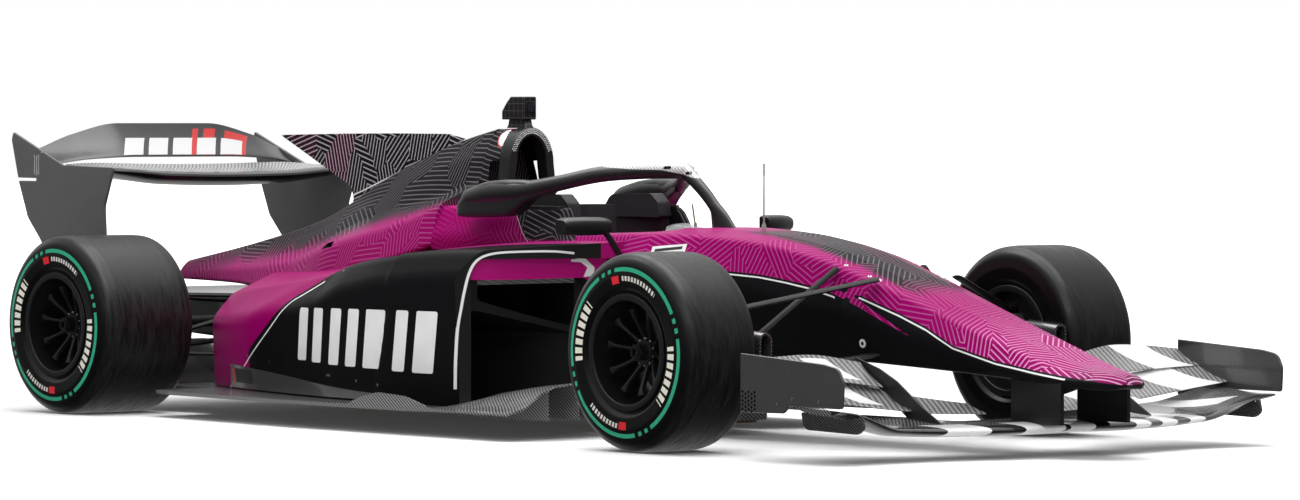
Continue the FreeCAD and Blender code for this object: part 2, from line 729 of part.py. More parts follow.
# Columns: share of the half span, nose x ahead of the rear axle, nose z, chord, pitch, thickness, camber.
REAR_MAIN = [
    (0, -245, 818, 300, 8, 44, 26),
    (0.487, -250, 822, 295, 8, 42, 24),
    (0.824, -255, 836, 285, 6, 36, 18),
    (1.0, -258, 842, 280, 4, 30, 12),
]
REAR_FLAP = [
    (0, -560, 888, 180, 42, 20, 16),
    (0.375, -560, 888, 180, 42, 20, 16),
    (0.75, -575, 880, 150, 36, 17, 12),
    (1.0, -600, 862, 120, 28, 14, 8),
]
REAR_PLATE = [
    (-855, 976), (-866, 950), (-824, 812), (-708, 811), (-708, 801), (-822, 801), (-762, 668), (-668, 576), (-640, 300),
    (-520, 200), (-300, 230), (-275, 611), (-282, 714), (-223, 853), (-538, 859),
]


def rear_span_wire(row, sign=1):
    share, x, z, chord, pitch, thick, camber = row
    return foil(sign * share * REAR_SPAN, rear_x(x), z, chord, pitch, thick, camber)


def make_rear_plane(table):
    return loft([rear_span_wire(r, -1) for r in reversed(table)] + [rear_span_wire(r) for r in table[1:]])


def make_rear_plate():
    radii = [4, 20, 4, 3, 3, 4, 60, 60, 40, 40, 40, 60, 60, 6, 8]
    return plate(
        [(rear_x(x), z) for x, z in REAR_PLATE], -REAR_PLATE_Y - REAR_PLATE_THICKNESS / 2,
        -REAR_PLATE_Y + REAR_PLATE_THICKNESS / 2, radii,
    )


def make_beam_wing():
    rows = [-REAR_SPAN, -60, 60, REAR_SPAN]
    return loft([foil(y, rear_x(-390), 384, 150, 12, 18, 10) for y in rows])


# ---------------------------------------------------------------- wheels
def tyre_profile(width):
    """Closed profile (y, r) of a slick tyre, centred on y = 0, sitting on its rim."""
    half = width / 2
    bead = RIM_RADIUS - 6
    return [
        (half - RIM_INSET, bead, 2), (half - RIM_INSET, RIM_RADIUS + 9, 3), (half - 3, RIM_RADIUS + 24, 12), (half, 238, 50),
        (half - 6, 282, 40),
        (half - 30, TYRE_RADIUS - 3, 34), (half - 70, TYRE_RADIUS, 60),
        (-half + 70, TYRE_RADIUS, 60), (-half + 30, TYRE_RADIUS - 3, 34), (-half + 6, 282, 40), (-half, 238, 60),
        (-half + 3, RIM_RADIUS + 24, 12), (-half + RIM_INSET, RIM_RADIUS + 9, 3), (-half + RIM_INSET, bead, 2),
    ]


def turned(profile, x, y):
    """Solid of revolution about the wheel axis at (x, y), from corners (y offset, r, radius)."""
    wire = fillet_wire([V(x, y + dy, AXLE_Z + r) for dy, r, _ in profile], [c for _, _, c in profile])
    return Part.Face(wire).revolve(V(x, y, AXLE_Z), V(0, 1, 0), 360)


def make_tyre(x, y, width):
    return turned(tyre_profile(width), x, y)


def make_rim(x, width, hub_y, disc_y):
    """Right wheel: barrel, spokes, centre nut and brake disc, bored for its spindle.

    hub_y is where the spokes stand and disc_y the middle of the brake disc, both measured outward.
    """
    centre = -(TYRE_OUTER_Y - width / 2)
    half = width / 2
    seat = RIM_RADIUS - 6 - FIT
    lip = half - RIM_INSET
    barrel = turned(
        [
            (lip + FIT, seat, 1), (lip + FIT, RIM_RADIUS + 5, 2), (lip + 7, RIM_RADIUS + 3, 3),
            (lip + 7, seat - 12, 4), (lip - 14, seat - BARREL_WALL, 6), (-lip + 14, seat - BARREL_WALL, 6),
            (-lip - 7, seat - 12, 4), (-lip - 7, RIM_RADIUS + 3, 3), (-lip - FIT, RIM_RADIUS + 5, 2),
            (-lip - FIT, seat, 1),
        ],
        x, centre,
    )
    shapes = [barrel]
    spoke = box(x + 40, x + seat - 2, -hub_y - 13, -hub_y + 13, AXLE_Z - 9, AXLE_Z + 9)
    for i in range(SPOKES):
        turned_spoke = spoke.copy()
        turned_spoke.rotate(V(x, 0, AXLE_Z), V(0, 1, 0), 360 / SPOKES * i)
        shapes.append(turned_spoke)
    nut = hub_y + 22
    # Columns: outer end |y|, inner end |y|, radius.
    for y_out, y_in, radius in (
        (hub_y + 14, disc_y - DISC_THICKNESS / 2 - 8, 50), (nut, hub_y + 10, 62), (nut + 62, nut - 4, 34),
        (disc_y + DISC_THICKNESS / 2, disc_y - DISC_THICKNESS / 2, DISC_RADIUS),
    ):
        shapes.append(cylinder(V(x, -y_out, AXLE_Z), V(x, -y_in, AXLE_Z), radius))
    wheel = joined(shapes)
    bore = cylinder(V(x, -nut - 80, AXLE_Z), V(x, -disc_y + 40, AXLE_Z), SPINDLE_RADIUS + 0.08)
    return wheel.cut(bore)


def ball_z(sign):
    return AXLE_Z + sign * BALL_JOINT_RISE


def make_knuckle():
    """Right front upright: a tall block with a pin at each end of the steering axis, and its spindle."""
    x = FRONT_AXLE_X
    block = loft(
        [
            fillet_wire(
                [V(x - w, -KINGPIN_Y - 22, z), V(x + w, -KINGPIN_Y - 22, z),
                 V(x + w, -KINGPIN_Y + 22, z), V(x - w, -KINGPIN_Y + 22, z)],
                [8] * 4,
            )
            for w, z in ((26, ball_z(-1) + 14), (60, AXLE_Z - 20), (60, AXLE_Z + 20), (26, ball_z(1) - 14))
        ]
    )
    pins = [
        cylinder(V(x, -KINGPIN_Y, ball_z(s) - s * 30), V(x, -KINGPIN_Y, ball_z(s) + s * 12), KINGPIN_PIN_RADIUS)
        for s in (-1, 1)
    ]
    spindle = cylinder(V(x, -KINGPIN_Y, AXLE_Z), V(x, -FRONT_HUB_Y - 8, AXLE_Z), SPINDLE_RADIUS)
    collar = cylinder(V(x, -KINGPIN_Y, AXLE_Z), V(x, -FRONT_DISC_Y + DISC_THICKNESS / 2 + 9, AXLE_Z), 52)
    return joined([block, spindle, collar] + pins)


def make_front_duct():
    """Right front brake duct: a scoop just inboard of the wheel, open to the front."""
    outer = -KINGPIN_Y + 38
    rows = [
        side_section(FRONT_AXLE_X + x, [(outer, z1, 24), (outer, z0, 24), (outer + w, z0, 24), (outer + w, z1, 24)])
        for x, w, z0, z1 in ((20, 30, 270, 350), (150, 52, 262, 384), (290, 52, 262, 372))
    ]
    scoop = loft(rows)
    mouth = loft(
        [
            side_section(FRONT_AXLE_X + x, [(outer + 7, z1, 18), (outer + 7, z0, 18), (outer + 7 + w, z0, 18),
                                            (outer + 7 + w, z1, 18)])
            for x, w, z0, z1 in ((120, 38, 270, 374), (300, 38, 270, 364))
        ]
    )
    web = box(FRONT_AXLE_X - 20, FRONT_AXLE_X + 60, -KINGPIN_Y + 10, -KINGPIN_Y + 50, AXLE_Z - 30, AXLE_Z + 30)
    return joined([scoop.cut(mouth), web])


# Columns: inner end x ahead of the front axle, |y|, z; which ball joint; chord, thickness.
FRONT_ARMS = [
    (300, 200, 530, 1, 46, 16), (-250, 226, 520, 1, 42, 16), (330, 190, 300, -1, 46, 16), (-290, 220, 300, -1, 42, 16),
]
PUSH_ROD = (120, 215, 560, 34, 18)


def make_front_arms(tub_and_nose):
    """Right front wishbones: four arms and a push rod that meet at eyes round the upright's pins."""
    arms = []
    for sign in (-1, 1):
        eye_at = V(FRONT_AXLE_X, -KINGPIN_Y, ball_z(sign))
        shapes = [cylinder(eye_at - V(0, 0, 12), eye_at + V(0, 0, 12), 19)]
        for x, y, z, which, chord, thick in FRONT_ARMS:
            if which == sign:
                end = eye_at + V(0, 24, 0)
                shapes.append(strut(V(front_x(x), -y + 30, z), end, chord, thick))
        shapes.append(box(FRONT_AXLE_X - 22, FRONT_AXLE_X + 22, -KINGPIN_Y + 12, -KINGPIN_Y + 34, ball_z(sign) - 9,
                          ball_z(sign) + 9))
        if sign == -1:
            x, y, z, chord, thick = PUSH_ROD
            shapes.append(strut(V(front_x(x), -y + 30, z), eye_at + V(0, 60, 4), chord, thick))
        arm = joined(shapes)
        for other in tub_and_nose:
            arm = arm.cut(other)
        bore = cylinder(eye_at - V(0, 0, 30), eye_at + V(0, 0, 30), KINGPIN_PIN_RADIUS + 0.08)
        arms.append(biggest(arm.cut(bore)))
    return joined(arms)


def biggest(shape):
    """The largest solid of a shape left in pieces by a cut."""
    return max(shape.Solids, key=lambda s: s.Volume)


def make_rear_upright():
    """Right rear upright with spindle, on the inside of the wheel."""
    x = REAR_AXLE_X
    block = loft(
        [
            fillet_wire(
                [V(x - w, -REAR_UPRIGHT_Y - 24, z), V(x + w, -REAR_UPRIGHT_Y - 24, z),
                 V(x + w, -REAR_UPRIGHT_Y + 24, z), V(x - w, -REAR_UPRIGHT_Y + 24, z)], [8] * 4
            )
            for w, z in ((30, 190), (66, 290), (66, 330), (30, 430))
        ]
    )
    spindle = cylinder(V(x, -REAR_UPRIGHT_Y - 12, AXLE_Z), V(x, -REAR_HUB_Y - 8, AXLE_Z), SPINDLE_RADIUS)
    collar = cylinder(V(x, -REAR_UPRIGHT_Y - 12, AXLE_Z), V(x, -REAR_DISC_Y + DISC_THICKNESS / 2 + 9, AXLE_Z), 52)
    return joined([block, spindle, collar])


# Columns: inner end x ahead of the rear axle, |y|, z; outer z, outer x; chord, thickness.
REAR_ARMS = [
    (330, 70, 400, 412, 12, 44, 16), (-150, 60, 372, 412, -12, 44, 16),
    (300, 70, 190, 208, 12, 50, 18), (-160, 60, 240, 208, -12, 46, 18),
    (140, 60, 380, 240, 34, 30, 16),
]


def make_rear_arms(cutters):
    arms = []
    for x, y, z, out_z, out_x, chord, thick in REAR_ARMS:
        arms.append(strut(V(rear_x(x), -y, z), V(rear_x(out_x), -REAR_UPRIGHT_Y + 16, out_z), chord, thick))
    arms.append(cylinder(V(REAR_AXLE_X, -60, AXLE_Z), V(REAR_AXLE_X, -REAR_UPRIGHT_Y + 16, AXLE_Z), 20))
    pieces = []
    for arm in arms:
        for other in cutters:
            arm = arm.cut(other)
        pieces.append(biggest(arm))
    made = pieces[0]
    for piece in pieces[1:]:
        made = made.fuse(piece)
    return made


# ---------------------------------------------------------------- mirrors, antenna, light
# Columns: |y| of a station of the mirror, x of its front, how much lower it is there at top and bottom.
MIRROR_ROWS = [(338, -806, 4), (410, -826, 0), (490, -858, 6)]
MIRROR_DEPTH, MIRROR_TOP, MIRROR_LOW, GLASS_EDGE = 52.0, 711.0, 650.0, 6.0


def make_mirror():
    """Right mirror: a housing swept back outboard, on a curved stalk from the tub."""
    rows = []
    for y, x, d in MIRROR_ROWS:
        front, back = front_x(x), front_x(x - MIRROR_DEPTH)
        corners = [(front, MIRROR_TOP - d), (back, MIRROR_TOP - d), (back, MIRROR_LOW + d), (front, MIRROR_LOW + d)]
        rows.append(fillet_wire([V(a, -y, b) for a, b in corners], [24, 6, 6, 24]))
    stalk = strut(V(front_x(-832), -250, 560), V(front_x(-824), -352, 664), 36, 11)
    return joined([loft(rows), stalk])


def make_mirror_glass():
    rows = []
    for i, (y, x, d) in enumerate(MIRROR_ROWS):
        back = front_x(x - MIRROR_DEPTH)
        out = y + GLASS_EDGE * (1 - i)
        top, low = MIRROR_TOP - GLASS_EDGE - d, MIRROR_LOW + GLASS_EDGE + d
        slope = (MIRROR_ROWS[2][1] - MIRROR_ROWS[0][1]) / (MIRROR_ROWS[2][0] - MIRROR_ROWS[0][0])
        back += slope * (out - y)
        rows.append(fillet_wire([V(back, -out, top), V(back - 2, -out, top), V(back - 2, -out, low), V(back, -out, low)],
                                [0.5] * 4))
    return loft(rows)


def make_antenna():
    foot = V(front_x(-444), 0, 640)
    return joined([cylinder(foot, foot + V(0, 0, 62), 9), cylinder(foot, foot + V(0, 0, 244), 3)])


STARTER_RADIUS, STARTER_DEPTH, STARTER_Z = 13.0, 60.0, 290.0


def make_rain_light():
    return box(rear_x(-734), rear_x(-720), -32, 32, 318, 362)


# ---------------------------------------------------------------- assembly
def build():
    """Every node as a dictionary of name to solid or list of solids, each cut to fit its neighbours."""
    tub, nose = make_tub(), make_nose()
    engine, gearbox = make_engine(), make_gearbox()
    crash = make_crash_structure()
    cover = less(make_cover(), tub, engine, gearbox, crash)
    hoop = less(make_air_box(), tub, cover)
    halo = less(make_halo(), loft([body_section(r, FIT) for r in TUB_SECTIONS]), cover, hoop)
    floor = make_floor()
    pod = biggest(less(make_pod(), loft([body_section(r, FIT) for r in TUB_SECTIONS]),
                       loft([cover_section(r, FIT) for r in COVER_SECTIONS]), engine, gearbox, floor, hoop))
    surround = less(make_surround(), tub, halo, hoop)
    seat = less(make_seat(), tub, surround)
    main_plane = make_main_plane()
    flaps = make_flaps()
    knuckle = make_knuckle()
    duct = make_front_duct().cut(knuckle)
    front_rim = make_rim(FRONT_AXLE_X, FRONT_TYRE_WIDTH, FRONT_HUB_Y, FRONT_DISC_Y)
    rear_rim = make_rim(REAR_AXLE_X, REAR_TYRE_WIDTH, REAR_HUB_Y, REAR_DISC_Y)
    front_tyre = make_tyre(FRONT_AXLE_X, -(TYRE_OUTER_Y - FRONT_TYRE_WIDTH / 2), FRONT_TYRE_WIDTH)
    rear_tyre = make_tyre(REAR_AXLE_X, -(TYRE_OUTER_Y - REAR_TYRE_WIDTH / 2), REAR_TYRE_WIDTH)
    front_arms = make_front_arms([tub, nose])
    upright = make_rear_upright()
    rear_arms = make_rear_arms([gearbox, engine, cover, pod, upright, crash])
    plate_right = make_rear_plate()
    diffuser = less(make_diffuser(), plate_right, mirror_y(plate_right), gearbox, floor)
    mirror = less(make_mirror(), tub)
    nodes = {
        "monocoque": tub, "nose_cone": nose, "engine": engine, "gearbox": gearbox, "rear_crash_structure": crash,
        "engine_cover": cover, "roll_hoop": hoop, "halo": halo, "headrest_collar": surround, "seat": seat,
        "steering_column": less(make_column(), tub), "floor": floor, "skid_plank": make_plank(), "diffuser": diffuser,
        "shark_fin": biggest(less(make_fin(), cover)), "onboard_camera": less(make_camera(), hoop, cover),
        "antenna": make_antenna().cut(tub), "rain_light": make_rain_light(),
        "front_wing_main_plane": main_plane, "front_wing_flaps": flaps,
        "front_wing_pylons": pair(biggest(less(make_pylon(), nose, main_plane))),
        "front_wing_endplates": pair(make_front_endplate()),
        "front_wing_strakes": pair(less(make_strake(), main_plane)),
        "front_wing_brackets": pair(biggest(less(make_bracket(), main_plane, *flaps))),
        "rear_wing_main_plane": make_rear_plane(REAR_MAIN), "rear_wing_flap": make_rear_plane(REAR_FLAP),
        "rear_wing_endplates": pair(plate_right), "rear_beam_wing": less(make_beam_wing(), crash),
        "mirrors": pair(mirror), "mirror_glasses": pair(less(make_mirror_glass(), mirror)),
        "steering_wheel": make_steering_wheel(),
        "rear_suspension": pair(rear_arms), "rear_uprights": pair(upright), "front_wishbones": pair(front_arms),
    }
    for name, shape in (
        ("sidepod", pod), ("front_upright", knuckle), ("front_brake_duct", duct), ("front_rim", front_rim),
        ("front_tyre", front_tyre), ("rear_rim", rear_rim), ("rear_tyre", rear_tyre),
    ):
        nodes[name + "_right"] = shape
        nodes[name + "_left"] = mirror_y(shape)
    return nodes


os.makedirs("parts", exist_ok=True)
for node_name, node_shape in build().items():
    save(node_name, node_shape)
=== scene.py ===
"""Open wheel racing car: the dressed model over the packed frame.

Lengths are metres in the frame's own axes: +X to the nose, +Y to the car's left, +Z up, ground at z = 0.
Tables hold millimetres, with stations counted from the front axle (f) or the rear axle (r).
"""
import math
from functools import partial
from itertools import product

import bmesh
import bpy
import numpy as np
from bpy.props import FloatProperty, FloatVectorProperty, IntProperty, PointerProperty
from mathutils import Matrix, Vector
from mathutils.bvhtree import BVHTree
from mathutils.kdtree import KDTree


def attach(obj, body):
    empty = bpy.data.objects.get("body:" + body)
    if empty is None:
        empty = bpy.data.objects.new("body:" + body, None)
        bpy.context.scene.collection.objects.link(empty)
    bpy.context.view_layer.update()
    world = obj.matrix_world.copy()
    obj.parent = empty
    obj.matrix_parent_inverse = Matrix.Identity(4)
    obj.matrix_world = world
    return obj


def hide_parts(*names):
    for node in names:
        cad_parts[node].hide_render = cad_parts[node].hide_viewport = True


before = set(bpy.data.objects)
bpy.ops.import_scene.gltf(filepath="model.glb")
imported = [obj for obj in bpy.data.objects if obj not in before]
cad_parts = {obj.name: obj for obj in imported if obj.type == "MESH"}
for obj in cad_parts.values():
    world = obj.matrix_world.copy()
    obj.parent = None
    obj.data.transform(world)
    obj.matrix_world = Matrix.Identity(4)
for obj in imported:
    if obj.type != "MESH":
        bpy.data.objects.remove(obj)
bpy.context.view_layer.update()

bl_info = {
    "name": "Open wheel racing car",
    "version": (1, 0, 0),
    "blender": (4, 5, 0),
    "location": "3D View > Sidebar > Racing car",
    "description": "Builds the bodywork, wings, wheels and fittings of an open wheel racing car",
    "category": "Object",
}

FRONT_AXLE, REAR_AXLE, AXLE_Z = 1.3495, -1.7655, 0.310
MM = 0.001
OUTSIDE = 1.2  # how far from the middle a ray starts, clear of the car
BOTH_SIDES = (-OUTSIDE, OUTSIDE)
WHITE = (0.72, 0.72, 0.72, 1)
# The fine lines in brighter colours, a painted highlight used on the fin and the front of the nose, over the body
# colour and over the dark colour.
HIGHLIT_LINE, HIGHLIT_LINE_DARK = (0.62, 0.24, 0.46, 1), (0.36, 0.34, 0.36, 1)


def fx(mm):
    """Station ahead of the front axle, in metres of the frame."""
    return FRONT_AXLE + mm * MM


def rx(mm):
    """Station ahead of the rear axle, in metres of the frame."""
    return REAR_AXLE + mm * MM


def at(kind, mm):
    return fx(mm) if kind == "f" else rx(mm)


def side_on(points):
    """(x, z) in metres of the frame, from millimetres ahead of the front axle and above the ground."""
    return [(fx(a), b * MM) for a, b in points]


def section(x, points):
    """Points of a cross section at a station ahead of the front axle, from (y, z) in millimetres."""
    return [(fx(x), a * MM, b * MM) for a, b in points]


def around(count):
    """Evenly spread angles of a full turn."""
    return np.linspace(0, 2 * math.pi, count, endpoint=False)


# ------------------------------------------------------------------ settings
def colour_field(name, description, default):
    """Setting that is a colour."""
    return FloatVectorProperty(name=name, description=description, subtype="COLOR", size=4, min=0, max=1,
                               default=default)


def length_field(name, description, default, **limits):
    """Setting that is a length in metres."""
    return FloatProperty(name=name, description=description, subtype="DISTANCE", unit="LENGTH", default=default,
                         **limits)


class RC_PaintSettings(bpy.types.PropertyGroup):
    """Colours of the bodywork."""

    body: colour_field("Body colour", "Main colour of the bodywork", (0.255, 0.0, 0.100, 1))
    dark: colour_field("Dark colour", "Colour the bodywork fades to at the top", (0.011, 0.010, 0.012, 1))
    black: colour_field("Side colour", "Gloss colour of the lower sides", (0.006, 0.006, 0.007, 1))
    line: colour_field("Line colour", "Fine lines over the body colour", (0.33, 0.055, 0.195, 1))
    line_dark: colour_field("Line colour on dark", "Fine lines over the dark colour", (0.115, 0.105, 0.115, 1))
    pitch: length_field("Line pitch", "Spacing of the fine lines", 0.017, min=0.005)
    patch: length_field("Patch size", "Size of one patch of parallel lines", 0.125, min=0.03)


class RC_TyreSettings(bpy.types.PropertyGroup):
    """Look of the tyres."""

    ring: colour_field("Ring colour", "Painted ring on the sidewall", (0.02, 0.30, 0.17, 1))
    ring_radius: length_field("Ring radius", "Outer radius of the painted ring", 0.264)
    ring_width: length_field("Ring width", "Width of the painted ring", 0.013)
    segments: IntProperty(name="Segments", description="Faces round a tyre", default=144, min=32)


class RC_TrimSettings(bpy.types.PropertyGroup):
    """Fasteners and small trim."""

    screw_radius: length_field("Screw radius", "Radius of a body screw head", 0.0045)
    cap_radius: length_field("Cap radius", "Radius of a large quick-release cap", 0.014)


class RC_StageSettings(bpy.types.PropertyGroup):
    """Camera, lights and floor."""

    lens: FloatProperty(name="Lens", description="Focal length", subtype="DISTANCE_CAMERA", unit="CAMERA",
                        default=169.05)
    floor: colour_field("Floor colour", "Colour of the floor", (0.86, 0.86, 0.86, 1))
    key: FloatProperty(name="Key light", description="Strength of the overhead softbox", unit="POWER",
                       subtype="POWER", default=520.0)


# ------------------------------------------------------------------ curves and meshes
def eased(stations, rows, where):
    """Rows of numbers at rising stations, carried along a smooth curve that never overshoots."""
    xs, ys = np.asarray(stations, float), np.asarray(rows, float)
    where = np.clip(np.asarray(where, float), xs[0], xs[-1])
    step = np.diff(xs)
    rise = np.diff(ys, axis=0) / step[:, None]
    slope = np.zeros_like(ys)
    slope[0], slope[-1] = rise[0], rise[-1]
    for i in range(1, len(xs) - 1):
        a, b = rise[i - 1], rise[i]
        wa, wb = 2 * step[i] + step[i - 1], step[i] + 2 * step[i - 1]
        with np.errstate(divide="ignore", invalid="ignore"):
            mean = (wa + wb) / (wa / a + wb / b)
        slope[i] = np.where(a * b > 0, mean, 0.0)
    k = np.clip(np.searchsorted(xs, where, side="right") - 1, 0, len(xs) - 2)
    h = step[k][:, None]
    t = ((where - xs[k]) / step[k])[:, None]
    return ((2 * t**3 - 3 * t**2 + 1) * ys[k] + (t**3 - 2 * t**2 + t) * h * slope[k]
            + (-2 * t**3 + 3 * t**2) * ys[k + 1] + (t**3 - t**2) * h * slope[k + 1])


def ring(corners, arc=8, line=6):
    """Closed loop of points round corners (a, b, radius): arcs at the corners, lines between."""
    pts = np.asarray([c[:2] for c in corners], float)
    n = len(pts)
    starts, ends = [], []
    for i in range(n):
        to_a, to_b = pts[i - 1] - pts[i], pts[(i + 1) % n] - pts[i]
        la, lb = np.linalg.norm(to_a), np.linalg.norm(to_b)
        cos = float(np.clip(np.dot(to_a, to_b) / max(la * lb, 1e-12), -1, 1))
        half = math.acos(cos) / 2
        cut = corners[i][2] / math.tan(half) if half < math.pi / 2 - 1e-4 else 0.0
        cut = min(max(cut, 1e-5), 0.46 * la, 0.46 * lb)
        starts.append(pts[i] + to_a / la * cut)
        ends.append(pts[i] + to_b / lb * cut)
    out = []
    for i in range(n):
        out += [(1 - t) ** 2 * starts[i] + 2 * t * (1 - t) * pts[i] + t * t * ends[i]
                for t in np.linspace(0, 1, arc + 1)]
        out += [ends[i] * (1 - t) + starts[(i + 1) % n] * t for t in np.linspace(0, 1, line + 2)[1:-1]]
    return np.asarray(out)


def rectangle(a0, a1, b0, b1, radii, arc, line):
    """Ring round a rectangle, with one radius for the corners at b0 and another for those at b1."""
    low, high = radii
    return ring([(a0, b0, low), (a1, b0, low), (a1, b1, high), (a0, b1, high)], arc, line)


def grid_faces(rows, cols, ends="capped"):
    """Quads between rings of points; the end rings are capped, left open, or joined to each other."""
    faces = []
    for i in range(rows if ends == "joined" else rows - 1):
        for j in range(cols):
            here, there, k = i * cols, (i + 1) % rows * cols, (j + 1) % cols
            faces.append((here + j, here + k, there + k, there + j))
    if ends == "capped":
        faces += [tuple(reversed(range(cols))), tuple(range((rows - 1) * cols, rows * cols))]
    return faces


def placed(name, mesh):
    """New object in the scene, at the origin."""
    obj = bpy.data.objects.new(name, mesh)
    bpy.context.scene.collection.objects.link(obj)
    return obj


def emptied(bm, name):
    """Mesh with what was drawn in bm, which is then freed."""
    mesh = bpy.data.meshes.new(name)
    bm.to_mesh(mesh)
    bm.free()
    return mesh


def mesh_object(name, verts, faces, materials=(), smooth=35):
    """New object with its faces turned outwards, smooth but for edges sharper than the given angle."""
    mesh = bpy.data.meshes.new(name)
    mesh.from_pydata([tuple(v) for v in verts], [], faces)
    obj = placed(name, mesh)
    tidy(obj, smooth)
    for mat in materials if isinstance(materials, (list, tuple)) else [materials]:
        mesh.materials.append(mat)
    return obj


def loft_object(name, rows, material, smooth=35):
    """Closed loft through rings of equal count."""
    return mesh_object(name, [p for r in rows for p in r], grid_faces(len(rows), len(rows[0])), material, smooth)


def tidy(obj, smooth=35, outwards=True, flat=None):
    """Merges doubles, turns the faces outwards and sets which edges stay sharp."""
    mesh = obj.data
    bm = bmesh.new()
    bm.from_mesh(mesh)
    bmesh.ops.remove_doubles(bm, verts=bm.verts, dist=2e-6)
    if flat:
        bmesh.ops.dissolve_limit(bm, angle_limit=math.radians(flat), verts=bm.verts, edges=bm.edges)
    if outwards:
        bmesh.ops.recalc_face_normals(bm, faces=bm.faces)
    bm.to_mesh(mesh)
    bm.free()
    mesh.shade_smooth()
    mesh.set_sharp_from_angle(angle=math.radians(smooth))
    mesh.update()


def join(name, objects):
    """One object from several, with their materials kept."""
    bm, mats = bmesh.new(), []
    for obj in objects:
        slots = []
        for mat in obj.data.materials:
            if mat not in mats:
                mats.append(mat)
            slots.append(mats.index(mat))
        for poly in obj.data.polygons:
            poly.material_index = slots[poly.material_index] if slots else 0
        bm.from_mesh(obj.data)
    for obj in objects:
        bpy.data.objects.remove(obj)
    made = placed(name, emptied(bm, name))
    for mat in mats:
        made.data.materials.append(mat)
    return made


def baked(obj):
    """Turns an object's modifiers into plain mesh."""
    graph = bpy.context.evaluated_depsgraph_get()
    mesh = bpy.data.meshes.new_from_object(obj.evaluated_get(graph))
    mesh.name = obj.name
    obj.modifiers.clear()
    obj.data = mesh
    return obj


def carve(obj, *cutters):
    """Cuts closed shapes out of a closed shape, then removes the cutters."""
    for cutter in cutters:
        mod = obj.modifiers.new("cut", "BOOLEAN")
        mod.operation, mod.solver, mod.object = "DIFFERENCE", "EXACT", cutter
        mod.material_mode = "TRANSFER"
        baked(obj)
    for cutter in cutters:
        bpy.data.objects.remove(cutter)
    return obj


def softened(obj, width, segments=2, angle=35):
    """Rounds the sharp edges of a piece."""
    mod = obj.modifiers.new("edge", "BEVEL")
    mod.width, mod.segments, mod.limit_method = width, segments, "ANGLE"
    mod.angle_limit = math.radians(angle)
    mod.harden_normals = mod.use_clamp_overlap = True
    return baked(obj)


def attribute(obj, name, values):
    """Stores one number or vector for each vertex."""
    values = np.asarray(values, np.float32)
    kind, field = ("FLOAT", "value") if values.ndim == 1 else ("FLOAT_VECTOR", "vector")
    obj.data.attributes.new(name, kind, "POINT").data.foreach_set(field, values.ravel())


def coords(obj):
    """Places of the vertices, one row each."""
    flat = np.empty(len(obj.data.vertices) * 3)
    obj.data.vertices.foreach_get("co", flat)
    return flat.reshape(-1, 3)


def from_axle(spots):
    """x, y and z of points in millimetres, x counted from the front axle as in the tables."""
    return ((spots - (FRONT_AXLE, 0, 0)) / MM).T


def prism(name, outline, low, high, material, axis="z"):
    """Prism over an outline of (x, y) points, or of (x, z) points for a prism that runs along y."""
    n = len(outline)
    verts = [(a, b, c) if axis == "z" else (a, c, b) for c in (low, high) for a, b in outline]
    faces = [tuple(range(n)), tuple(range(n, 2 * n))]
    faces += [(i, (i + 1) % n, n + (i + 1) % n, n + i) for i in range(n)]
    return mesh_object(name, verts, faces, material)


def across(ahead, other):
    """Two directions at right angles to a bar and to each other."""
    side = ahead.cross(Vector((0, 0, 1)))
    if side.length < 1e-3:
        side = ahead.cross(Vector(other))
    side.normalize()
    return side, side.cross(ahead)


def tube(name, path, radius, material, sides=12):
    """Round bar along a path of points; radius is one number or one per point."""
    path = [Vector(p) for p in path]
    verts, side = [], None
    for i, (p, r) in enumerate(zip(path, np.broadcast_to(radius, len(path)).tolist())):
        ahead = (path[min(i + 1, len(path) - 1)] - path[max(i - 1, 0)]).normalized()
        if side is None:
            side, _ = across(ahead, (0, 1, 0))
        side = (side - ahead * side.dot(ahead)).normalized()
        up = side.cross(ahead)
        verts += [p + side * (math.cos(t) * r) + up * (math.sin(t) * r) for t in around(sides)]
    return mesh_object(name, verts, grid_faces(len(path), sides), material, 40)


def curve_through(points, count):
    """Evenly spread points on a smooth curve through the given ones."""
    pts = np.asarray(points, float)
    run = np.concatenate([[0], np.cumsum(np.linalg.norm(np.diff(pts[:, :3], axis=0), axis=1))])
    padded = np.vstack([2 * pts[0] - pts[1], pts, 2 * pts[-1] - pts[-2]])
    out = []
    for s in np.linspace(0, run[-1], count):
        k = min(max(int(np.searchsorted(run, s, side="right")) - 1, 0), len(pts) - 2)
        t = (s - run[k]) / (run[k + 1] - run[k])
        a, b, c, d = padded[k : k + 4]
        bend, twist = 2 * a - 5 * b + 4 * c - d, 3 * b - a - 3 * c + d
        out.append(0.5 * (2 * b + (c - a) * t + bend * t**2 + twist * t**3))
    return np.asarray(out)


def turned(name, profile, x, y, material, segments=96):
    """Ring turned about a wheel's axle from a closed profile of (y, radius) points."""
    verts = [(x + r * math.sin(t), y + dy, AXLE_Z + r * math.cos(t)) for t in around(segments) for dy, r in profile]
    return mesh_object(name, verts, grid_faces(segments, len(profile), "joined"), material)


def turned_up(name, profile, x, y, material, segments=24):
    """Solid of revolution about an upright axis, from (radius in m, z in mm) points."""
    loops = [[(x + r * math.cos(a), y + r * math.sin(a), z * MM) for a in around(segments)] for r, z in profile]
    return loft_object(name, loops, material, 40)


def drum(name, start, end, radius, material, sides=32, inner=0.0):
    """Cylinder between two points, hollow when inner is given."""
    a, b = Vector(start), Vector(end)
    side, up = across((b - a).normalized(), (1, 0, 0))
    loops = [(a, radius), (b, radius)] + ([(b, inner), (a, inner)] if inner else [])
    verts = [p + (side * math.cos(t) + up * math.sin(t)) * r for p, r in loops for t in around(sides)]
    return mesh_object(name, verts, grid_faces(len(loops), sides, "joined" if inner else "capped"), material, 40)


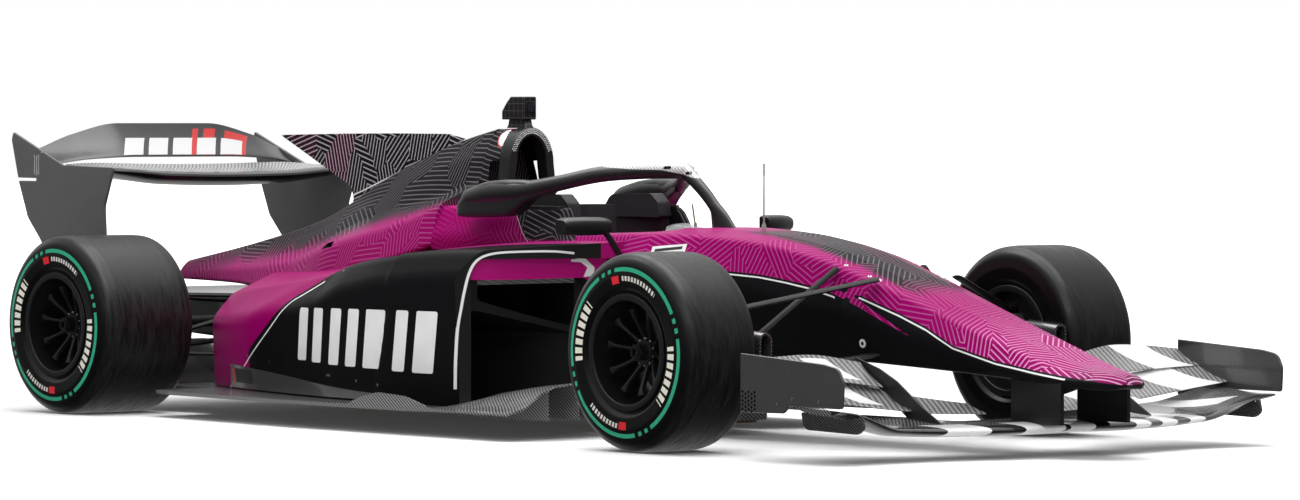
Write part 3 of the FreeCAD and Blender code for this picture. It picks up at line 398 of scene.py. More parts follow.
def twin(obj, name):
    """The same piece on the other side of the car."""
    mesh = obj.data.copy()
    mesh.transform(Matrix.Scale(-1, 4, (0, 1, 0)))
    mesh.flip_normals()
    return placed(name, mesh)


def dressed(node, material, soft=0.0):
    """A smooth-edged copy of a CAD node in its place."""
    obj = placed("dressed_" + node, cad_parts[node].data.copy())
    obj.data.materials.clear()
    obj.data.materials.append(material)
    tidy(obj, 32, outwards=False, flat=0.6)
    if soft:
        softened(obj, soft)
    return obj


def settle(obj, body, *nodes):
    """Lets a finished piece ride on its body and stand for its CAD nodes."""
    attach(obj, body)
    if nodes:
        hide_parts(*nodes)


def dress(group):
    """Puts finishes on smooth-edged copies of the CAD nodes of one group."""
    for node, finish, soft, *body in DRESSED[group]:
        settle(dressed(node, finish(), soft), body[0] if body else "chassis", node)


# ------------------------------------------------------------------ materials
class Num:
    """A value in a node tree; sums, products and comparisons of it add the nodes that work them out."""

    def __init__(self, tree, socket):
        self.tree, self.socket = tree, socket


for sign, operation in (("add", "ADD"), ("sub", "SUBTRACT"), ("mul", "MULTIPLY"), ("truediv", "DIVIDE"),
                        ("gt", "GREATER_THAN"), ("lt", "LESS_THAN")):
    setattr(Num, f"__{sign}__", lambda a, b, operation=operation: a.tree.math(operation, a, b))
    setattr(Num, f"__r{sign}__", lambda b, a, operation=operation: b.tree.math(operation, a, b))


class Tree:
    """Shorthand for a node tree: each call adds a node, fills its inputs and gives what it puts out."""

    def __init__(self, tree):
        self.tree = tree

    def feed(self, socket, value):
        """Links or sets one input."""
        if isinstance(value, Num):
            self.tree.links.new(value.socket, socket)
        else:
            socket.default_value = value

    def node(self, kind, inputs=None, **settings):
        """A new node, with its inputs by name or number."""
        made = self.tree.nodes.new(kind)
        for key, value in settings.items():
            setattr(made, key, value)
        for key, value in (inputs or {}).items():
            self.feed(made.inputs[key], value)
        return made

    def all_of(self, kind, inputs=None, **settings):
        """All outputs of a new node, by name."""
        return {s.name: Num(self, s) for s in self.node(kind, inputs, **settings).outputs}

    def one(self, output, kind, inputs=None, **settings):
        """One output of a new node, by name or number."""
        return Num(self, self.node(kind, inputs, **settings).outputs[output])

    def math(self, operation, *values):
        return self.one(0, "ShaderNodeMath", dict(enumerate(values)), operation=operation)

    def step(self, value, low, high):
        """0 below low, 1 above high, smooth between."""
        return self.one("Result", "ShaderNodeMapRange", {"Value": value, "From Min": low, "From Max": high},
                        interpolation_type="SMOOTHSTEP")

    def mix(self, factor, a, b):
        return self.one(2, "ShaderNodeMix", {0: factor, 6: a, 7: b}, data_type="RGBA")

    def read(self, name, output="Fac"):
        return self.one(output, "ShaderNodeAttribute", attribute_name=name)

    def noise(self, vector, scale, detail=2.0, rough=0.5):
        return self.one("Fac", "ShaderNodeTexNoise",
                        {"Vector": vector, "Scale": scale, "Detail": detail, "Roughness": rough})

    def place(self):
        return self.one("Object", "ShaderNodeTexCoord")

    def split(self, vector):
        return self.all_of("ShaderNodeSeparateXYZ", {"Vector": vector}).values()

    def bump(self, height, strength, distance=0.001):
        return self.one(0, "ShaderNodeBump", {"Height": height, "Strength": strength, "Distance": distance})

    def group(self, group, **inputs):
        return self.all_of("ShaderNodeGroup", inputs, node_tree=group)

    def shader(self, colour, rough, **others):
        """Principled surface. Numbers that are the same all over are set on its own sockets."""
        inputs = {"Base Color": colour, "Roughness": rough}
        inputs.update({key.replace("_", " "): value for key, value in others.items() if value is not None})
        surface = self.one(0, "ShaderNodeBsdfPrincipled", inputs)
        self.node("ShaderNodeOutputMaterial", {"Surface": surface})


def surface(usual_name=None):
    """Turns a function that fills a node tree into one that gives the material of a name, made once."""
    def wrap(fill):
        def named(name=usual_name, *values, **settings):
            mat = bpy.data.materials.get(name)
            if mat is None:
                mat = bpy.data.materials.new(name)
                mat.use_nodes = True
                mat.node_tree.nodes.clear()
                fill(Tree(mat.node_tree), *values, **settings)
            return mat
        return named
    return wrap


def shared(name, numbers, outputs):
    """Turns a function of a place and numbers into one that gives the node group that works it out, made once."""
    def wrap(work):
        def group():
            made = bpy.data.node_groups.get(name)
            if made is None:
                made = bpy.data.node_groups.new(name, "ShaderNodeTree")
                face = made.interface
                face.new_socket(name="Vector", in_out="INPUT", socket_type="NodeSocketVector")
                for label, value in numbers.items():
                    face.new_socket(name=label, in_out="INPUT", socket_type="NodeSocketFloat").default_value = value
                for label in outputs:
                    face.new_socket(name=label, in_out="OUTPUT", socket_type="NodeSocketFloat")
                t = Tree(made)
                given = t.all_of("NodeGroupInput")
                results = work(t, *(given[label] for label in ("Vector", *numbers)))
                t.node("NodeGroupOutput", dict(zip(outputs, results)))
            return made
        return group
    return wrap


@shared("carbon_twill", {"Tow": 0.003}, ("Weave", "Height"))
def twill_group(t, place, tow):
    """Carbon cloth: a mask of the diagonal weave and its height."""
    x, y, z = t.split(place)
    u, v = (x + z * 0.6) / tow, (y + z * 0.8) / tow
    over = t.math("FRACT", (t.math("FLOOR", u) + t.math("FLOOR", v) + 0.5) * 0.25) < 0.5
    bow_u, bow_v = (t.math("SINE", t.math("FRACT", way) * math.pi) for way in (u, v))
    return over, over * bow_u + (1.0 - over) * bow_v


@shared("line_patches", {"Pitch": 0.017, "Patch": 0.15}, ("Lines", "Patch value"))
def lines_group(t, place, pitch, patch):
    """Patches of parallel lines, each patch turned its own way."""
    cell = t.one("Color", "ShaderNodeTexVoronoi", {"Vector": place, "Scale": 1.0 / patch, "Randomness": 0.9},
                 voronoi_dimensions="2D", distance="CHEBYCHEV")
    red, green, _ = t.all_of("ShaderNodeSeparateColor", {"Color": cell}).values()
    turn = (t.math("FLOOR", red * 6.0) + 0.5) * (math.pi / 6)
    x, y, _ = t.split(place)
    along = x * t.math("COSINE", turn) + y * t.math("SINE", turn)
    wave = t.math("ABSOLUTE", t.math("FRACT", along / pitch) - 0.5)
    return t.step(wave, 0.335, 0.41), green


@shared("handling_marks", {"Scale": 8.0}, ("Roughness", "Mask"))
def wear_group(t, place, scale):
    """Light dust and handling marks, as a roughness to add and a colour mask."""
    broad = t.noise(place, scale, 4.0, 0.6)
    return (broad - 0.5) * 0.12, t.step(broad, 0.55, 0.8)


@surface("livery_paint")
def livery(t):
    """Bodywork paint: body colour with line patches, fading to dark, gloss black below its edge, pinstripes."""
    paint = bpy.context.scene.rc_paint
    lines, value = t.group(lines_group(), Vector=t.read("wrap", "Vector"), Pitch=paint.pitch,
                           Patch=paint.patch).values()
    lined = t.read("lined")
    fade = t.step(t.read("tone") + (value - 0.5) * 0.22, 0.12, 0.88)
    base = t.mix(fade, paint.body, paint.dark)
    over = t.mix(fade, paint.line, paint.line_dark)
    # Where lined is above 1 the lines take the brighter colours, a painted highlight.
    over = t.mix(t.step(lined, 1.0, 2.0), over, t.mix(fade, HIGHLIT_LINE, HIGHLIT_LINE_DARK))
    colour = t.mix(t.math("MINIMUM", lines * lined, 1.0), base, over)
    colour = t.mix(t.step(t.read("edge"), -0.0006, 0.0006), paint.black, colour)
    pinned = 1.0 - t.step(t.math("ABSOLUTE", t.read("pin")), 0.0020, 0.0029)
    rough = t.group(wear_group(), Vector=t.place(), Scale=6.0)["Roughness"] + 0.36
    t.shader(t.mix(pinned, colour, WHITE), rough, Coat_Weight=0.0, Specular_IOR_Level=0.03)


@surface()
def plain(t, colour, rough, metallic=0.0, coat=0.0, vary=0.06, scale=40.0, bump=0.0, shine=0.5):
    """Even finish with a little variation in its roughness."""
    place = t.place()
    grain = t.noise(place, scale, 3.0)
    low, high = (tuple(min(1, c * part) for c in colour) + (1,) for part in (0.9, 1.1))
    t.shader(t.mix(grain, low, high), grain * vary + (rough - vary / 2), Metallic=metallic, Coat_Weight=coat,
             Coat_Roughness=0.06, Specular_IOR_Level=shine,
             Normal=t.bump(t.noise(place, scale * 20), bump) if bump else None)


@surface()
def flat_colour(t, colour, rough, **others):
    """One colour all over, for lamps and clear plastic."""
    t.shader(colour, rough, **others)


@surface("carbon_cloth")
def carbon(t, tow=0.0035, gloss=0.22, light=0.09, dark=0.012):
    """Woven carbon under lacquer."""
    weave, height = t.group(twill_group(), Vector=t.place(), Tow=tow).values()
    colour = t.mix(weave, (dark, dark, dark * 1.05, 1), (light, light, light * 1.02, 1))
    t.shader(colour, gloss, Normal=t.bump(height, 0.15, 0.0004), Coat_Weight=0.8, Coat_Roughness=0.08, Metallic=0.3)


# Finishes that several pieces share.
black_gloss = partial(plain, "gloss_black", (0.006, 0.006, 0.007), 0.34, coat=0.08, vary=0.08, scale=5.0, shine=0.4)
black_satin = partial(plain, "satin_black", (0.010, 0.010, 0.011), 0.42, vary=0.1, scale=14.0)
interior = partial(plain, "cockpit_black", (0.004, 0.004, 0.005), 0.7, vary=0.1, shine=0.1)
white_paint = partial(plain, "white_paint", WHITE[:3], 0.3, coat=0.5, scale=10.0)
red_paint = partial(plain, "red_paint", (0.55, 0.012, 0.012), 0.32, coat=0.4, scale=10.0)
steel = partial(plain, "bright_steel", (0.55, 0.55, 0.56), 0.28, metallic=1.0, scale=60.0)
magnesium = partial(plain, "wheel_black", (0.010, 0.010, 0.011), 0.36, metallic=0.3, scale=30.0)
arm_black = partial(plain, "arm_black", (0.006, 0.006, 0.007), 0.42, coat=0.0, scale=30, shine=0.12)
cast_grey = partial(plain, "cast_grey", (0.10, 0.10, 0.10), 0.5, metallic=0.5, scale=120)


def brightened_body():
    """The body colour without lines, for faces inside the sidepod's mouth."""
    body = bpy.context.scene.rc_paint.body
    return plain("body_colour", [min(1.0, c * 1.35) for c in body[:3]], 0.30, coat=0.1, scale=6.0, shine=0.25)


@surface("halo_satin")
def halo_paint(t):
    """Satin black, with a pale cloth cap where the stored height over the cap's edge is above zero."""
    weave = t.group(twill_group(), Vector=t.place(), Tow=0.004)["Weave"]
    cloth = t.mix(weave, (0.34, 0.34, 0.34, 1), (0.62, 0.62, 0.62, 1))
    colour = t.mix(t.step(t.read("cap"), -0.0004, 0.0004), (0.012, 0.012, 0.013, 1), cloth)
    t.shader(colour, 0.38, Coat_Weight=0.12, Coat_Roughness=0.2, Specular_IOR_Level=0.5)


# Plain blocks round the sidewall: turn of their middle, half reach in turns, inner and outer radius, pitch, share
# of the pitch that is painted, colour. Two large groups in pale grey, two small groups, each led by a red block.
SIDEWALL_BLOCKS = [
    (0.454, 0.068, 0.206, 0.238, 0.0195, 0.66, (0.62, 0.60, 0.52, 1)),
    (0.95, 0.068, 0.206, 0.238, 0.0195, 0.66, (0.62, 0.60, 0.52, 1)),
    (0.20, 0.058, 0.222, 0.237, 0.0105, 0.60, (0.55, 0.53, 0.50, 1)),
    (0.678, 0.050, 0.222, 0.237, 0.0105, 0.60, (0.55, 0.53, 0.50, 1)),
    (0.2806, 0.012, 0.215, 0.239, 0.5, 1.0, (0.55, 0.01, 0.02, 1)),
    (0.744, 0.012, 0.215, 0.239, 0.5, 1.0, (0.55, 0.01, 0.02, 1)),
]
# Where the painted ring is broken, as shares of a quarter turn: from here on painted (1) or bare (0).
RING_BREAKS = [(0.80, 0), (0.84, 1), (0.88, 0), (0.92, 1), (0.96, 0)]
RING_TURN = 1.1694  # how far round the breaks lie, in turns
SIDEWALL_OUT = 0.09  # the painted side starts this far from the tyre's middle


@surface()
def tyre_rubber(t, x, y, side):
    """Slick tyre: scuffed tread, smooth sidewall with a broken painted ring."""
    look = bpy.context.scene.rc_tyre
    px, py, pz = t.split(t.one(0, "ShaderNodeMapping", {"Vector": t.place(), "Location": (-x, -y, -AXLE_Z)}))
    radius = t.math("SQRT", px * px + pz * pz)
    angle = t.math("ARCTAN2", pz, px) / (2 * math.pi)
    ramp = t.node("ShaderNodeValToRGB", {"Fac": t.math("FRACT", (angle + RING_TURN) * 4.0)})
    ramp.color_ramp.interpolation = "CONSTANT"
    elements = ramp.color_ramp.elements
    elements[0].color = (1, 1, 1, 1)
    elements.remove(elements[1])
    for where, on in RING_BREAKS:
        elements.new(where).color = (on, on, on, 1)
    inner = look.ring_radius - look.ring_width
    from_inner, past_outer = (t.step(radius, r, r + 0.0008) for r in (inner, look.ring_radius))
    band = from_inner * (1.0 - past_outer)
    outer_face = py * float(side) > SIDEWALL_OUT
    streaks = t.one(0, "ShaderNodeCombineXYZ", {"X": radius * 20.0, "Y": py * 90.0, "Z": angle * 22.0})
    scuff = t.step(t.noise(streaks, 1.0, 5.0, 0.65), 0.32, 0.70) * t.step(radius, 0.285, 0.303)
    colour = t.mix(scuff, (0.002, 0.002, 0.002, 1), (0.010, 0.010, 0.010, 1))
    colour = t.mix(band * Num(t, ramp.outputs["Color"]) * outer_face, colour, look.ring)
    for turn, reach, r0, r1, pitch, fill, tint in SIDEWALL_BLOCKS:
        near = t.math("FRACT", angle + (1.5 - turn)) - 0.5
        bars = (t.math("ABSOLUTE", near) < reach) * (t.math("FRACT", near / pitch + 40.0) < fill)
        colour = t.mix(bars * (radius > r0) * (radius < r1) * outer_face, colour, tint)
    t.shader(colour, scuff * 0.22 + 0.31, Normal=t.bump(scuff, 0.22, 0.0008), Specular_IOR_Level=0.33)


# ------------------------------------------------------------------ repeated small things
def scatter_tree():
    """Geometry Nodes tree that stands a template on every point, facing the way stored there."""
    found = bpy.data.node_groups.get("scatter_on_points")
    if found:
        return found
    tree = bpy.data.node_groups.new("scatter_on_points", "GeometryNodeTree")
    for name, kind in (("Geometry", "Geometry"), ("Template", "Object"), ("Size", "Float"), ("Finish", "Material")):
        tree.interface.new_socket(name=name, in_out="INPUT", socket_type="NodeSocket" + kind)
    tree.interface.new_socket(name="Geometry", in_out="OUTPUT", socket_type="NodeSocketGeometry")
    t = Tree(tree)
    given = t.all_of("NodeGroupInput")
    facing, along = (t.one("Attribute", "GeometryNodeInputNamedAttribute", {"Name": name}, data_type="FLOAT_VECTOR")
                     for name in ("facing", "along"))
    turn = t.one("Rotation", "FunctionNodeAlignRotationToVector", {"Vector": facing}, axis="Z")
    turn = t.one("Rotation", "FunctionNodeAlignRotationToVector", {"Rotation": turn, "Vector": along}, axis="X",
                 pivot_axis="Z")
    template = t.one("Geometry", "GeometryNodeObjectInfo", {"Object": given["Template"]})
    copies = t.one("Instances", "GeometryNodeInstanceOnPoints", {
        "Points": given["Geometry"], "Instance": template, "Rotation": turn, "Scale": given["Size"]})
    real = t.one("Geometry", "GeometryNodeRealizeInstances", {"Geometry": copies})
    t.node("NodeGroupOutput", {"Geometry": t.one("Geometry", "GeometryNodeSetMaterial",
                                                 {"Geometry": real, "Material": given["Finish"]})})
    return tree


def scattered(name, template, places, material, size=1.0):
    """One mesh of copies of a template at places: each a point, the way its top faces, and the way its X runs."""
    mesh = bpy.data.meshes.new(name)
    mesh.from_pydata([tuple(p[0]) for p in places], [], [])
    obj = placed(name, mesh)
    attribute(obj, "facing", [tuple(p[1]) for p in places])
    attribute(obj, "along", [tuple(p[2]) if len(p) > 2 else (1, 0, 0) for p in places])
    mod = obj.modifiers.new("scatter", "NODES")
    mod.node_group = scatter_tree()
    sockets = {s.name: s.identifier for s in mod.node_group.interface.items_tree if s.in_out == "INPUT"}
    for key, value in (("Template", template), ("Size", size), ("Finish", material)):
        mod[sockets[key]] = value
    baked(obj)
    bpy.data.objects.remove(template)
    obj.data.materials.clear()
    obj.data.materials.append(material)
    for spent in ("facing", "along"):
        if spent in obj.data.attributes:
            obj.data.attributes.remove(obj.data.attributes[spent])
    tidy(obj, 40, outwards=False)
    return obj


def knob(profile, sides=12):
    """Small turned template about Z, from (radius, height) points that end on the axis."""
    verts = [(r * math.cos(t), r * math.sin(t), h) for r, h in profile[:-1] for t in around(sides)]
    verts.append((0, 0, profile[-1][1]))
    tip = len(verts) - 1
    faces = grid_faces(len(profile) - 1, sides, "open")
    faces += [(tip - sides + j, tip - sides + (j + 1) % sides, tip) for j in range(sides)]
    faces.append(tuple(reversed(range(sides))))
    return mesh_object("template", verts, faces, (), 40)


def tree_of(obj):
    """The object's faces, ready for rays."""
    bm = bmesh.new()
    bm.from_mesh(obj.data)
    tree = BVHTree.FromBMesh(bm)
    bm.free()
    return tree


def sliced(bm, outline, up, step=0.02):
    """Cuts a flat face into small squares for bending; up is the axis of the outline's second numbers."""
    for column, axis in ((0, 0), (1, up)):
        low, high = min(p[column] for p in outline), max(p[column] for p in outline)
        for place in np.arange(low + step, high, step):
            spot, normal = [0, 0, 0], [0, 0, 0]
            spot[axis], normal[axis] = place, 1
            bmesh.ops.bisect_plane(bm, geom=bm.verts[:] + bm.edges[:] + bm.faces[:], plane_co=spot, plane_no=normal)


def struck(onto, x, z, start):
    """Where a ray along y from start first meets a surface, and the way the surface faces there."""
    ahead = Vector((0, 1 if start < 0 else -1, 0))
    hit, normal, _, _ = onto.ray_cast(Vector((x, start, z)), ahead)
    return None if hit is None else (hit, normal if normal.dot(ahead) < 0 else -normal)


def decal(name, outline, onto, finish, start=-OUTSIDE, step=0.02, lift=0.0007):
    """Thin painted shape laid on a surface, from an outline in (x, z) seen along y."""
    bm = bmesh.new()
    bm.faces.new([bm.verts.new((a, b, 0)) for a, b in outline])
    sliced(bm, outline, 1, step)
    gone = []
    for v in bm.verts:
        found = struck(onto, v.co.x, v.co.y, start)
        if found:
            v.co = found[0] + found[1] * lift
        else:
            gone.append(v)
    bmesh.ops.delete(bm, geom=gone, context="VERTS")
    obj = placed(name, emptied(bm, name))
    obj.data.materials.append(finish)
    if sum(p.area * p.normal.y for p in obj.data.polygons) * start < 0:
        obj.data.flip_normals()
    obj.data.shade_smooth()
    return obj


def spots_on(onto, spots, start=-OUTSIDE):
    """Places for scattered(), where each (x, z) meets a surface seen along y."""
    found = [struck(onto, x, z, start) for x, z in side_on(spots)]
    return [place for place in found if place]


def disc(radius, sides, height=0.0006):
    """Template of a small flat disc, for dots, holes and vents."""
    return knob([(radius, -0.0005), (radius, height), (0, height)], sides)


def screws(name, onto, spots, start=-OUTSIDE):
    """Flush body screws at (x, z) spots."""
    radius = bpy.context.scene.rc_trim.screw_radius
    head = knob([(radius, -0.0005), (radius, 0.0008), (radius * 0.5, 0.0008), (0, 0.0003)])
    return scattered(name, head, spots_on(onto, spots, start), steel())


def caps(name, onto, spots, start=-OUTSIDE, size=1.0):
    """White quick-release caps with a dark socket, joined into one piece."""
    radius = bpy.context.scene.rc_trim.cap_radius * size
    places = spots_on(onto, spots, start)
    plate = knob([(radius, -0.0005), (radius, 0.0010), (0, 0.0014)], 24)
    hole = knob([(radius * 0.42, 0.0), (radius * 0.42, 0.0019), (0, 0.0019)], 16)
    plates = scattered(name, plate, places, white_paint())
    return join(name, [plates, scattered("socket", hole, places, interior())])


# ------------------------------------------------------------------ bodywork shells
# Columns: x ahead of the front axle, top z, crease y and z, side y and z, low y and z.
NOSE_ROWS = [
    (1261.5, 244, 66, 234, 88, 222, 76, 206), (1215, 258, 86, 246, 108, 232, 96, 211),
    (1110, 276, 122, 262, 150, 240, 140, 221), (880, 343, 136, 328, 172, 262, 156, 238),
    (600, 434, 146, 416, 190, 330, 172, 254), (300, 533, 158, 512, 208, 400, 190, 268),
]
TUB_ROWS = [
    (300, 533, 158, 512, 208, 400, 190, 268), (0, 618, 176, 596, 226, 450, 206, 274),
    (-300, 662, 200, 642, 246, 500, 222, 262), (-600, 676, 228, 657, 272, 560, 240, 170),
    (-1090, 668, 256, 650, 300, 600, 262, 92.5), (-1165, 742, 258, 734, 304, 640, 266, 92.5),
    (-1790, 742, 270, 734, 322, 630, 268, 92.5),
]
# Columns: station kind, x, then half width and z at the ridge, neck, waist, shoulder and skirt.
COVER_ROWS = [
    ("f", -1790, 40, 994, 86, 905, 112, 810, 286, 738, 326, 600),
    ("f", -1960, 28, 962, 78, 880, 120, 770, 286, 690, 330, 560),
    ("r", 715, 24, 830, 64, 770, 128, 680, 262, 600, 300, 470),
    ("r", 315, 20, 672, 54, 630, 108, 570, 178, 520, 222, 420),
    ("r", -85, 18, 584, 46, 556, 80, 520, 112, 490, 130, 440),
    ("r", -500, 16, 512, 34, 500, 48, 486, 60, 468, 70, 446),
]
# Columns: station kind, x, top z inboard, shoulder y and z, outer y and z, y at the floor.
POD_ROWS = [
    ("f", -700, 622, 640, 604, 716, 520, 700), ("f", -1150, 622, 660, 600, 727, 520, 712),
    ("f", -1500, 604, 670, 584, 735, 500, 722), ("f", -1800, 570, 640, 552, 722, 460, 706),
    ("r", 1115, 544, 590, 508, 692, 410, 676), ("r", 800, 526, 500, 474, 620, 380, 606),
    ("r", 340, 492, 390, 428, 482, 330, 470), ("r", 240, 484, 360, 414, 446, 330, 436),
]


def curve(points, x):
    """Height at x of a line through (x, height) points, in any order."""
    xs, heights = np.asarray(sorted(points), float).T
    return np.interp(x, xs, heights)


def stations(rows):
    """Stations of table rows, in millimetres of the frame; a row may begin with its station's kind."""
    return [(at(*row[:2]) if isinstance(row[0], str) else fx(row[0])) / MM for row in rows]


def eased_rows(rows, where):
    """Rows of a table whose first column is the station, at other stations."""
    return eased([row[0] for row in rows], [row[1:] for row in rows], where)


class Shell:
    """Closed lofted shell that remembers the distance round each section, for its paint."""

    def __init__(self, name, rows, corners, spacing, materials, line=6, shape=None):
        places = stations(rows)
        order = np.argsort(places)
        xs = np.asarray(places, float)[order]
        table = np.asarray([corners(row) for row in rows], float)[order]
        count = max(4, int((xs[-1] - xs[0]) / spacing))
        where = np.linspace(xs[0], xs[-1], count)
        verts, round_it, heading = [], [], []
        for x, row in zip(where, eased(xs, table.reshape(len(xs), -1), where)):
            loop = ring(row.reshape(-1, 3), 8, line)
            if shape:
                loop = shape(x, loop)
            ahead = np.roll(loop, -1, axis=0) - loop
            length = np.linalg.norm(ahead, axis=1)
            total = length.sum()
            run = np.concatenate([[0], np.cumsum(length)[:-1]]) + abs(loop[0][0])
            run = np.where(run > total / 2, run - total, run)
            verts += [(x * MM, y * MM, z * MM) for y, z in loop]
            round_it += list(run * MM)
            heading += [(0, a / max(n, 1e-9), b / max(n, 1e-9)) for (a, b), n in zip(ahead, length)]
        self.points = np.asarray(verts)
        self.run, self.heading = np.asarray(round_it), np.asarray(heading)
        self.obj = mesh_object(name, verts, grid_faces(count, len(loop)), materials)

    def paint(self, rule):
        """Stores the paint's distances and masks on the shell, after any cutting, and gives the shell."""
        tree = KDTree(len(self.points))
        for i, p in enumerate(self.points):
            tree.insert(p, i)
        tree.balance()
        spots = coords(self.obj)
        near = np.asarray([tree.find(p)[1] for p in spots])
        v = self.run[near] + ((spots - self.points[near]) * self.heading[near]).sum(axis=1)
        attribute(self.obj, "wrap", np.stack([spots[:, 0], v, v * 0], axis=1))
        x, y, z = from_axle(spots)
        painted(self.obj, rule(x, np.abs(y), z))
        return self.obj


def painted(obj, found):
    """Stores what a paint rule found: distances in millimetres, and masks."""
    for name, value in found.items():
        attribute(obj, name, value * MM if name in ("edge", "pin") else value)


def mirrored(corners):
    """Corners down the right side, then back up the left."""
    right = [(-abs(a), b, r) for a, b, r in corners]
    return right + [(-a, b, r) for a, b, r in reversed(right)]


def body_corners(row):
    _, top, crease_y, crease_z, side_y, side_z, low_y, low_z = row
    return mirrored([(crease_y * 0.45, top, 40), (crease_y, crease_z, 30), (side_y, side_z, 90),
                     (low_y, low_z, 16)])


def kept(on, value):
    """The distance where it is wanted, and elsewhere one of like sign that draws nothing."""
    return np.where(on, value, np.copysign(6000.0, value))


def smooth_step(value, low, high):
    t = np.clip((value - low) / (high - low), 0, 1)
    return t * t * (3 - 2 * t)


# Lower edge of the body colour from the cockpit forward, and the edge that takes over on the nose.
LOWER_EDGE = [(-1790, 590), (-860, 590), (-700, 565), (-500, 550), (-319, 542), (-204, 535), (-92, 521), (14, 505),
              (122, 481), (250, 438), (511, 341)]
UPPER_EDGE = [(161, 497), (250, 473), (410, 426), (532, 385), (652, 333), (833, 291), (993, 267), (1186, 242),
              (1262, 228)]
# The slanted edge that leads from the lower edge to the upper one.
JOINING_EDGE = [(161, 495), (511, 341)]


def body_paint(x, y, z):
    """Paint of the nose and tub, at stations from the front axle."""
    lower = z - curve(LOWER_EDGE, x)
    upper = z - curve(UPPER_EDGE, x)
    (start, _), (end, _) = JOINING_EDGE
    joining = np.minimum(lower, curve(JOINING_EDGE, x) - z)
    edge = np.where(x < start, lower, np.where(x < end, np.maximum(upper, joining), upper))
    # The pinstripe follows the lower edge, then the upper one, with a gap between them.
    pin = kept((x < 135) | (x > 225), np.where(x < 180, lower + 9, upper + 8))
    pin = kept((x < 1120) & (x > -700) & (z > 215) & (y > 60), pin)
    middle = 1 - smooth_step(y, 95, 150)
    tone = 0.80 * middle * smooth_step(x, -480, -350) * (1 - smooth_step(x, 330, 520))
    tone = np.maximum(tone, 0.45 * smooth_step(x, 1000, 1180))
    # The dark panel beside the cockpit starts at a slanted pinstripe.
    front = (x + 1411 - (733 - z) * 1.15) * 0.9
    tone = np.maximum(tone, (front > 0) * smooth_step(z, 618, 636) * (x < -1085))
    pin = np.where(x < -900, kept((x > -1435) & (z > 600), front * 2.2), pin)
    # Lines fade out behind the cockpit and turn brighter towards the nose's tip; the extra brightness is a painted
    # highlight.
    line_fade_and_highlight = 1 - 0.75 * smooth_step(-x, 1360, 1480) + smooth_step(x, 450, 1000)
    return {"edge": edge, "pin": pin, "tone": tone, "lined": line_fade_and_highlight}


COVER_MIDDLE = [(-1700, 752), (-1858, 730), (-2081, 695), (-2331, 650), (-2655, 588), (-2933, 540), (-3615, 478)]


def cover_paint(x, y, z):
    """Body colour low on the engine cover, fading to dark at its ridge."""
    middle = curve(COVER_MIDDLE, x)
    tone = smooth_step(z - middle, -70, 70) * curve([(-3615, 0.6), (-2900, 0.85), (-2400, 1.0)], x)
    return {"edge": z - 330.0, "pin": np.full_like(x, 60.0), "tone": tone, "lined": np.ones_like(x)}


POD_SIDE_EDGE = [(-2760, 96), (-2580, 186), (-2353, 317), (-2156, 432), (-1976, 504), (-1791, 566), (-1642, 590),
                 (-1500, 640)]
POD_TOP_EDGE = [(-1690, 560), (-1322, 480), (-1105, 400), (-870, 325), (-700, 200)]


def pod_paint(x, y, z):
    """Black outer flank and shelf, body colour on top and behind the swept line."""
    side = (z - curve(POD_SIDE_EDGE, x)) * 0.85
    top = curve(POD_TOP_EDGE, x) - y
    edge = np.where(x < -1505, np.maximum(side, top), top)
    pin = kept(x < -1990, side + 12 + 12 * smooth_step(-x, 1900, 2600))
    tone = 0.25 * smooth_step(z, 520, 600) * smooth_step(-x, 1500, 1900)
    return {"edge": edge, "pin": pin, "tone": tone, "lined": smooth_step(z, 470, 560)}


# The tip is rounded from here to here, about this height.
TIP_START, TIP_END, TIP_Z = 1172, 1262, 232.0


def nose_tip(x, loop):
    """Rounds the very front of the nose."""
    start, end = fx(TIP_START) / MM, fx(TIP_END) / MM
    t = np.clip((x - start) / (end - start), 0, 0.995)
    if t <= 0:
        return loop
    wide, high = math.sqrt(1 - t**2.4), (1 - t**3) ** 0.6
    return np.stack([loop[:, 0] * wide, TIP_Z + (loop[:, 1] - TIP_Z) * high], axis=1)


def make_nose():
    shell = Shell("nose_shell", NOSE_ROWS, body_corners, 9, livery(), shape=nose_tip)
    settle(shell.paint(body_paint), "chassis", "nose_cone")


# Columns: x ahead of the front axle, half width at the rim, half width low, lowest z.
COCKPIT_ROWS = [(-706, 150, 120, 300), (-760, 188, 150, 240), (-1000, 226, 200, 160), (-1600, 226, 200, 150)]


def make_tub():
    shell = Shell("tub_shell", TUB_ROWS, body_corners, 12, [livery(), interior()])
    opening = loft_object("opening", [section(x, ring(
        [(-rim, 900, 5), (-rim, 560, 60), (-low, z0, 60), (low, z0, 60), (rim, 560, 60), (rim, 900, 5)], 6, 3))
        for x, rim, low, z0 in COCKPIT_ROWS], interior())
    leg_room = loft_object("leg_room", [section(x, ring(
        [(-w, z1, 40), (-w, z0, 50), (w, z0, 50), (w, z1, 40)], 5, 2))
        for x, w, z0, z1 in ((-250, 110, 340, 480), (-800, 160, 300, 560))], interior())
    carve(shell.obj, opening, leg_room)
    obj = shell.paint(body_paint)
    tidy(obj, 35, outwards=False)
    onto = tree_of(obj)
    trim = []
    for start in BOTH_SIDES:
        trim.append(caps("caps", onto, [(265, 526), (260, 329)], start))
        trim.append(caps("caps", onto, [(123, 570), (230, 537)], start, 0.5))
        # Dark discs stand for the rod holes: painted shade in them.
        rods = spots_on(onto, [(161, 502), (180, 455)], start)
        trim.append(scattered("rod_holes", disc(0.017, 20), rods, interior()))
        for finish, grow, lift in ((white_paint(), 0, 0.0007), (black_satin(), 4, 0.0012)):
            plate = [(-699 + 4 * grow, 591 + 2 * grow), (-548 - 4 * grow, 602 + 2 * grow),
                     (-548 - 4 * grow, 627 - 2 * grow), (-699 + 4 * grow, 616 - 2 * grow)]
            trim.append(decal("label", side_on(plate), onto, finish, start, lift=lift))
    settle(join("tub_set", [obj] + trim), "chassis", "monocoque")


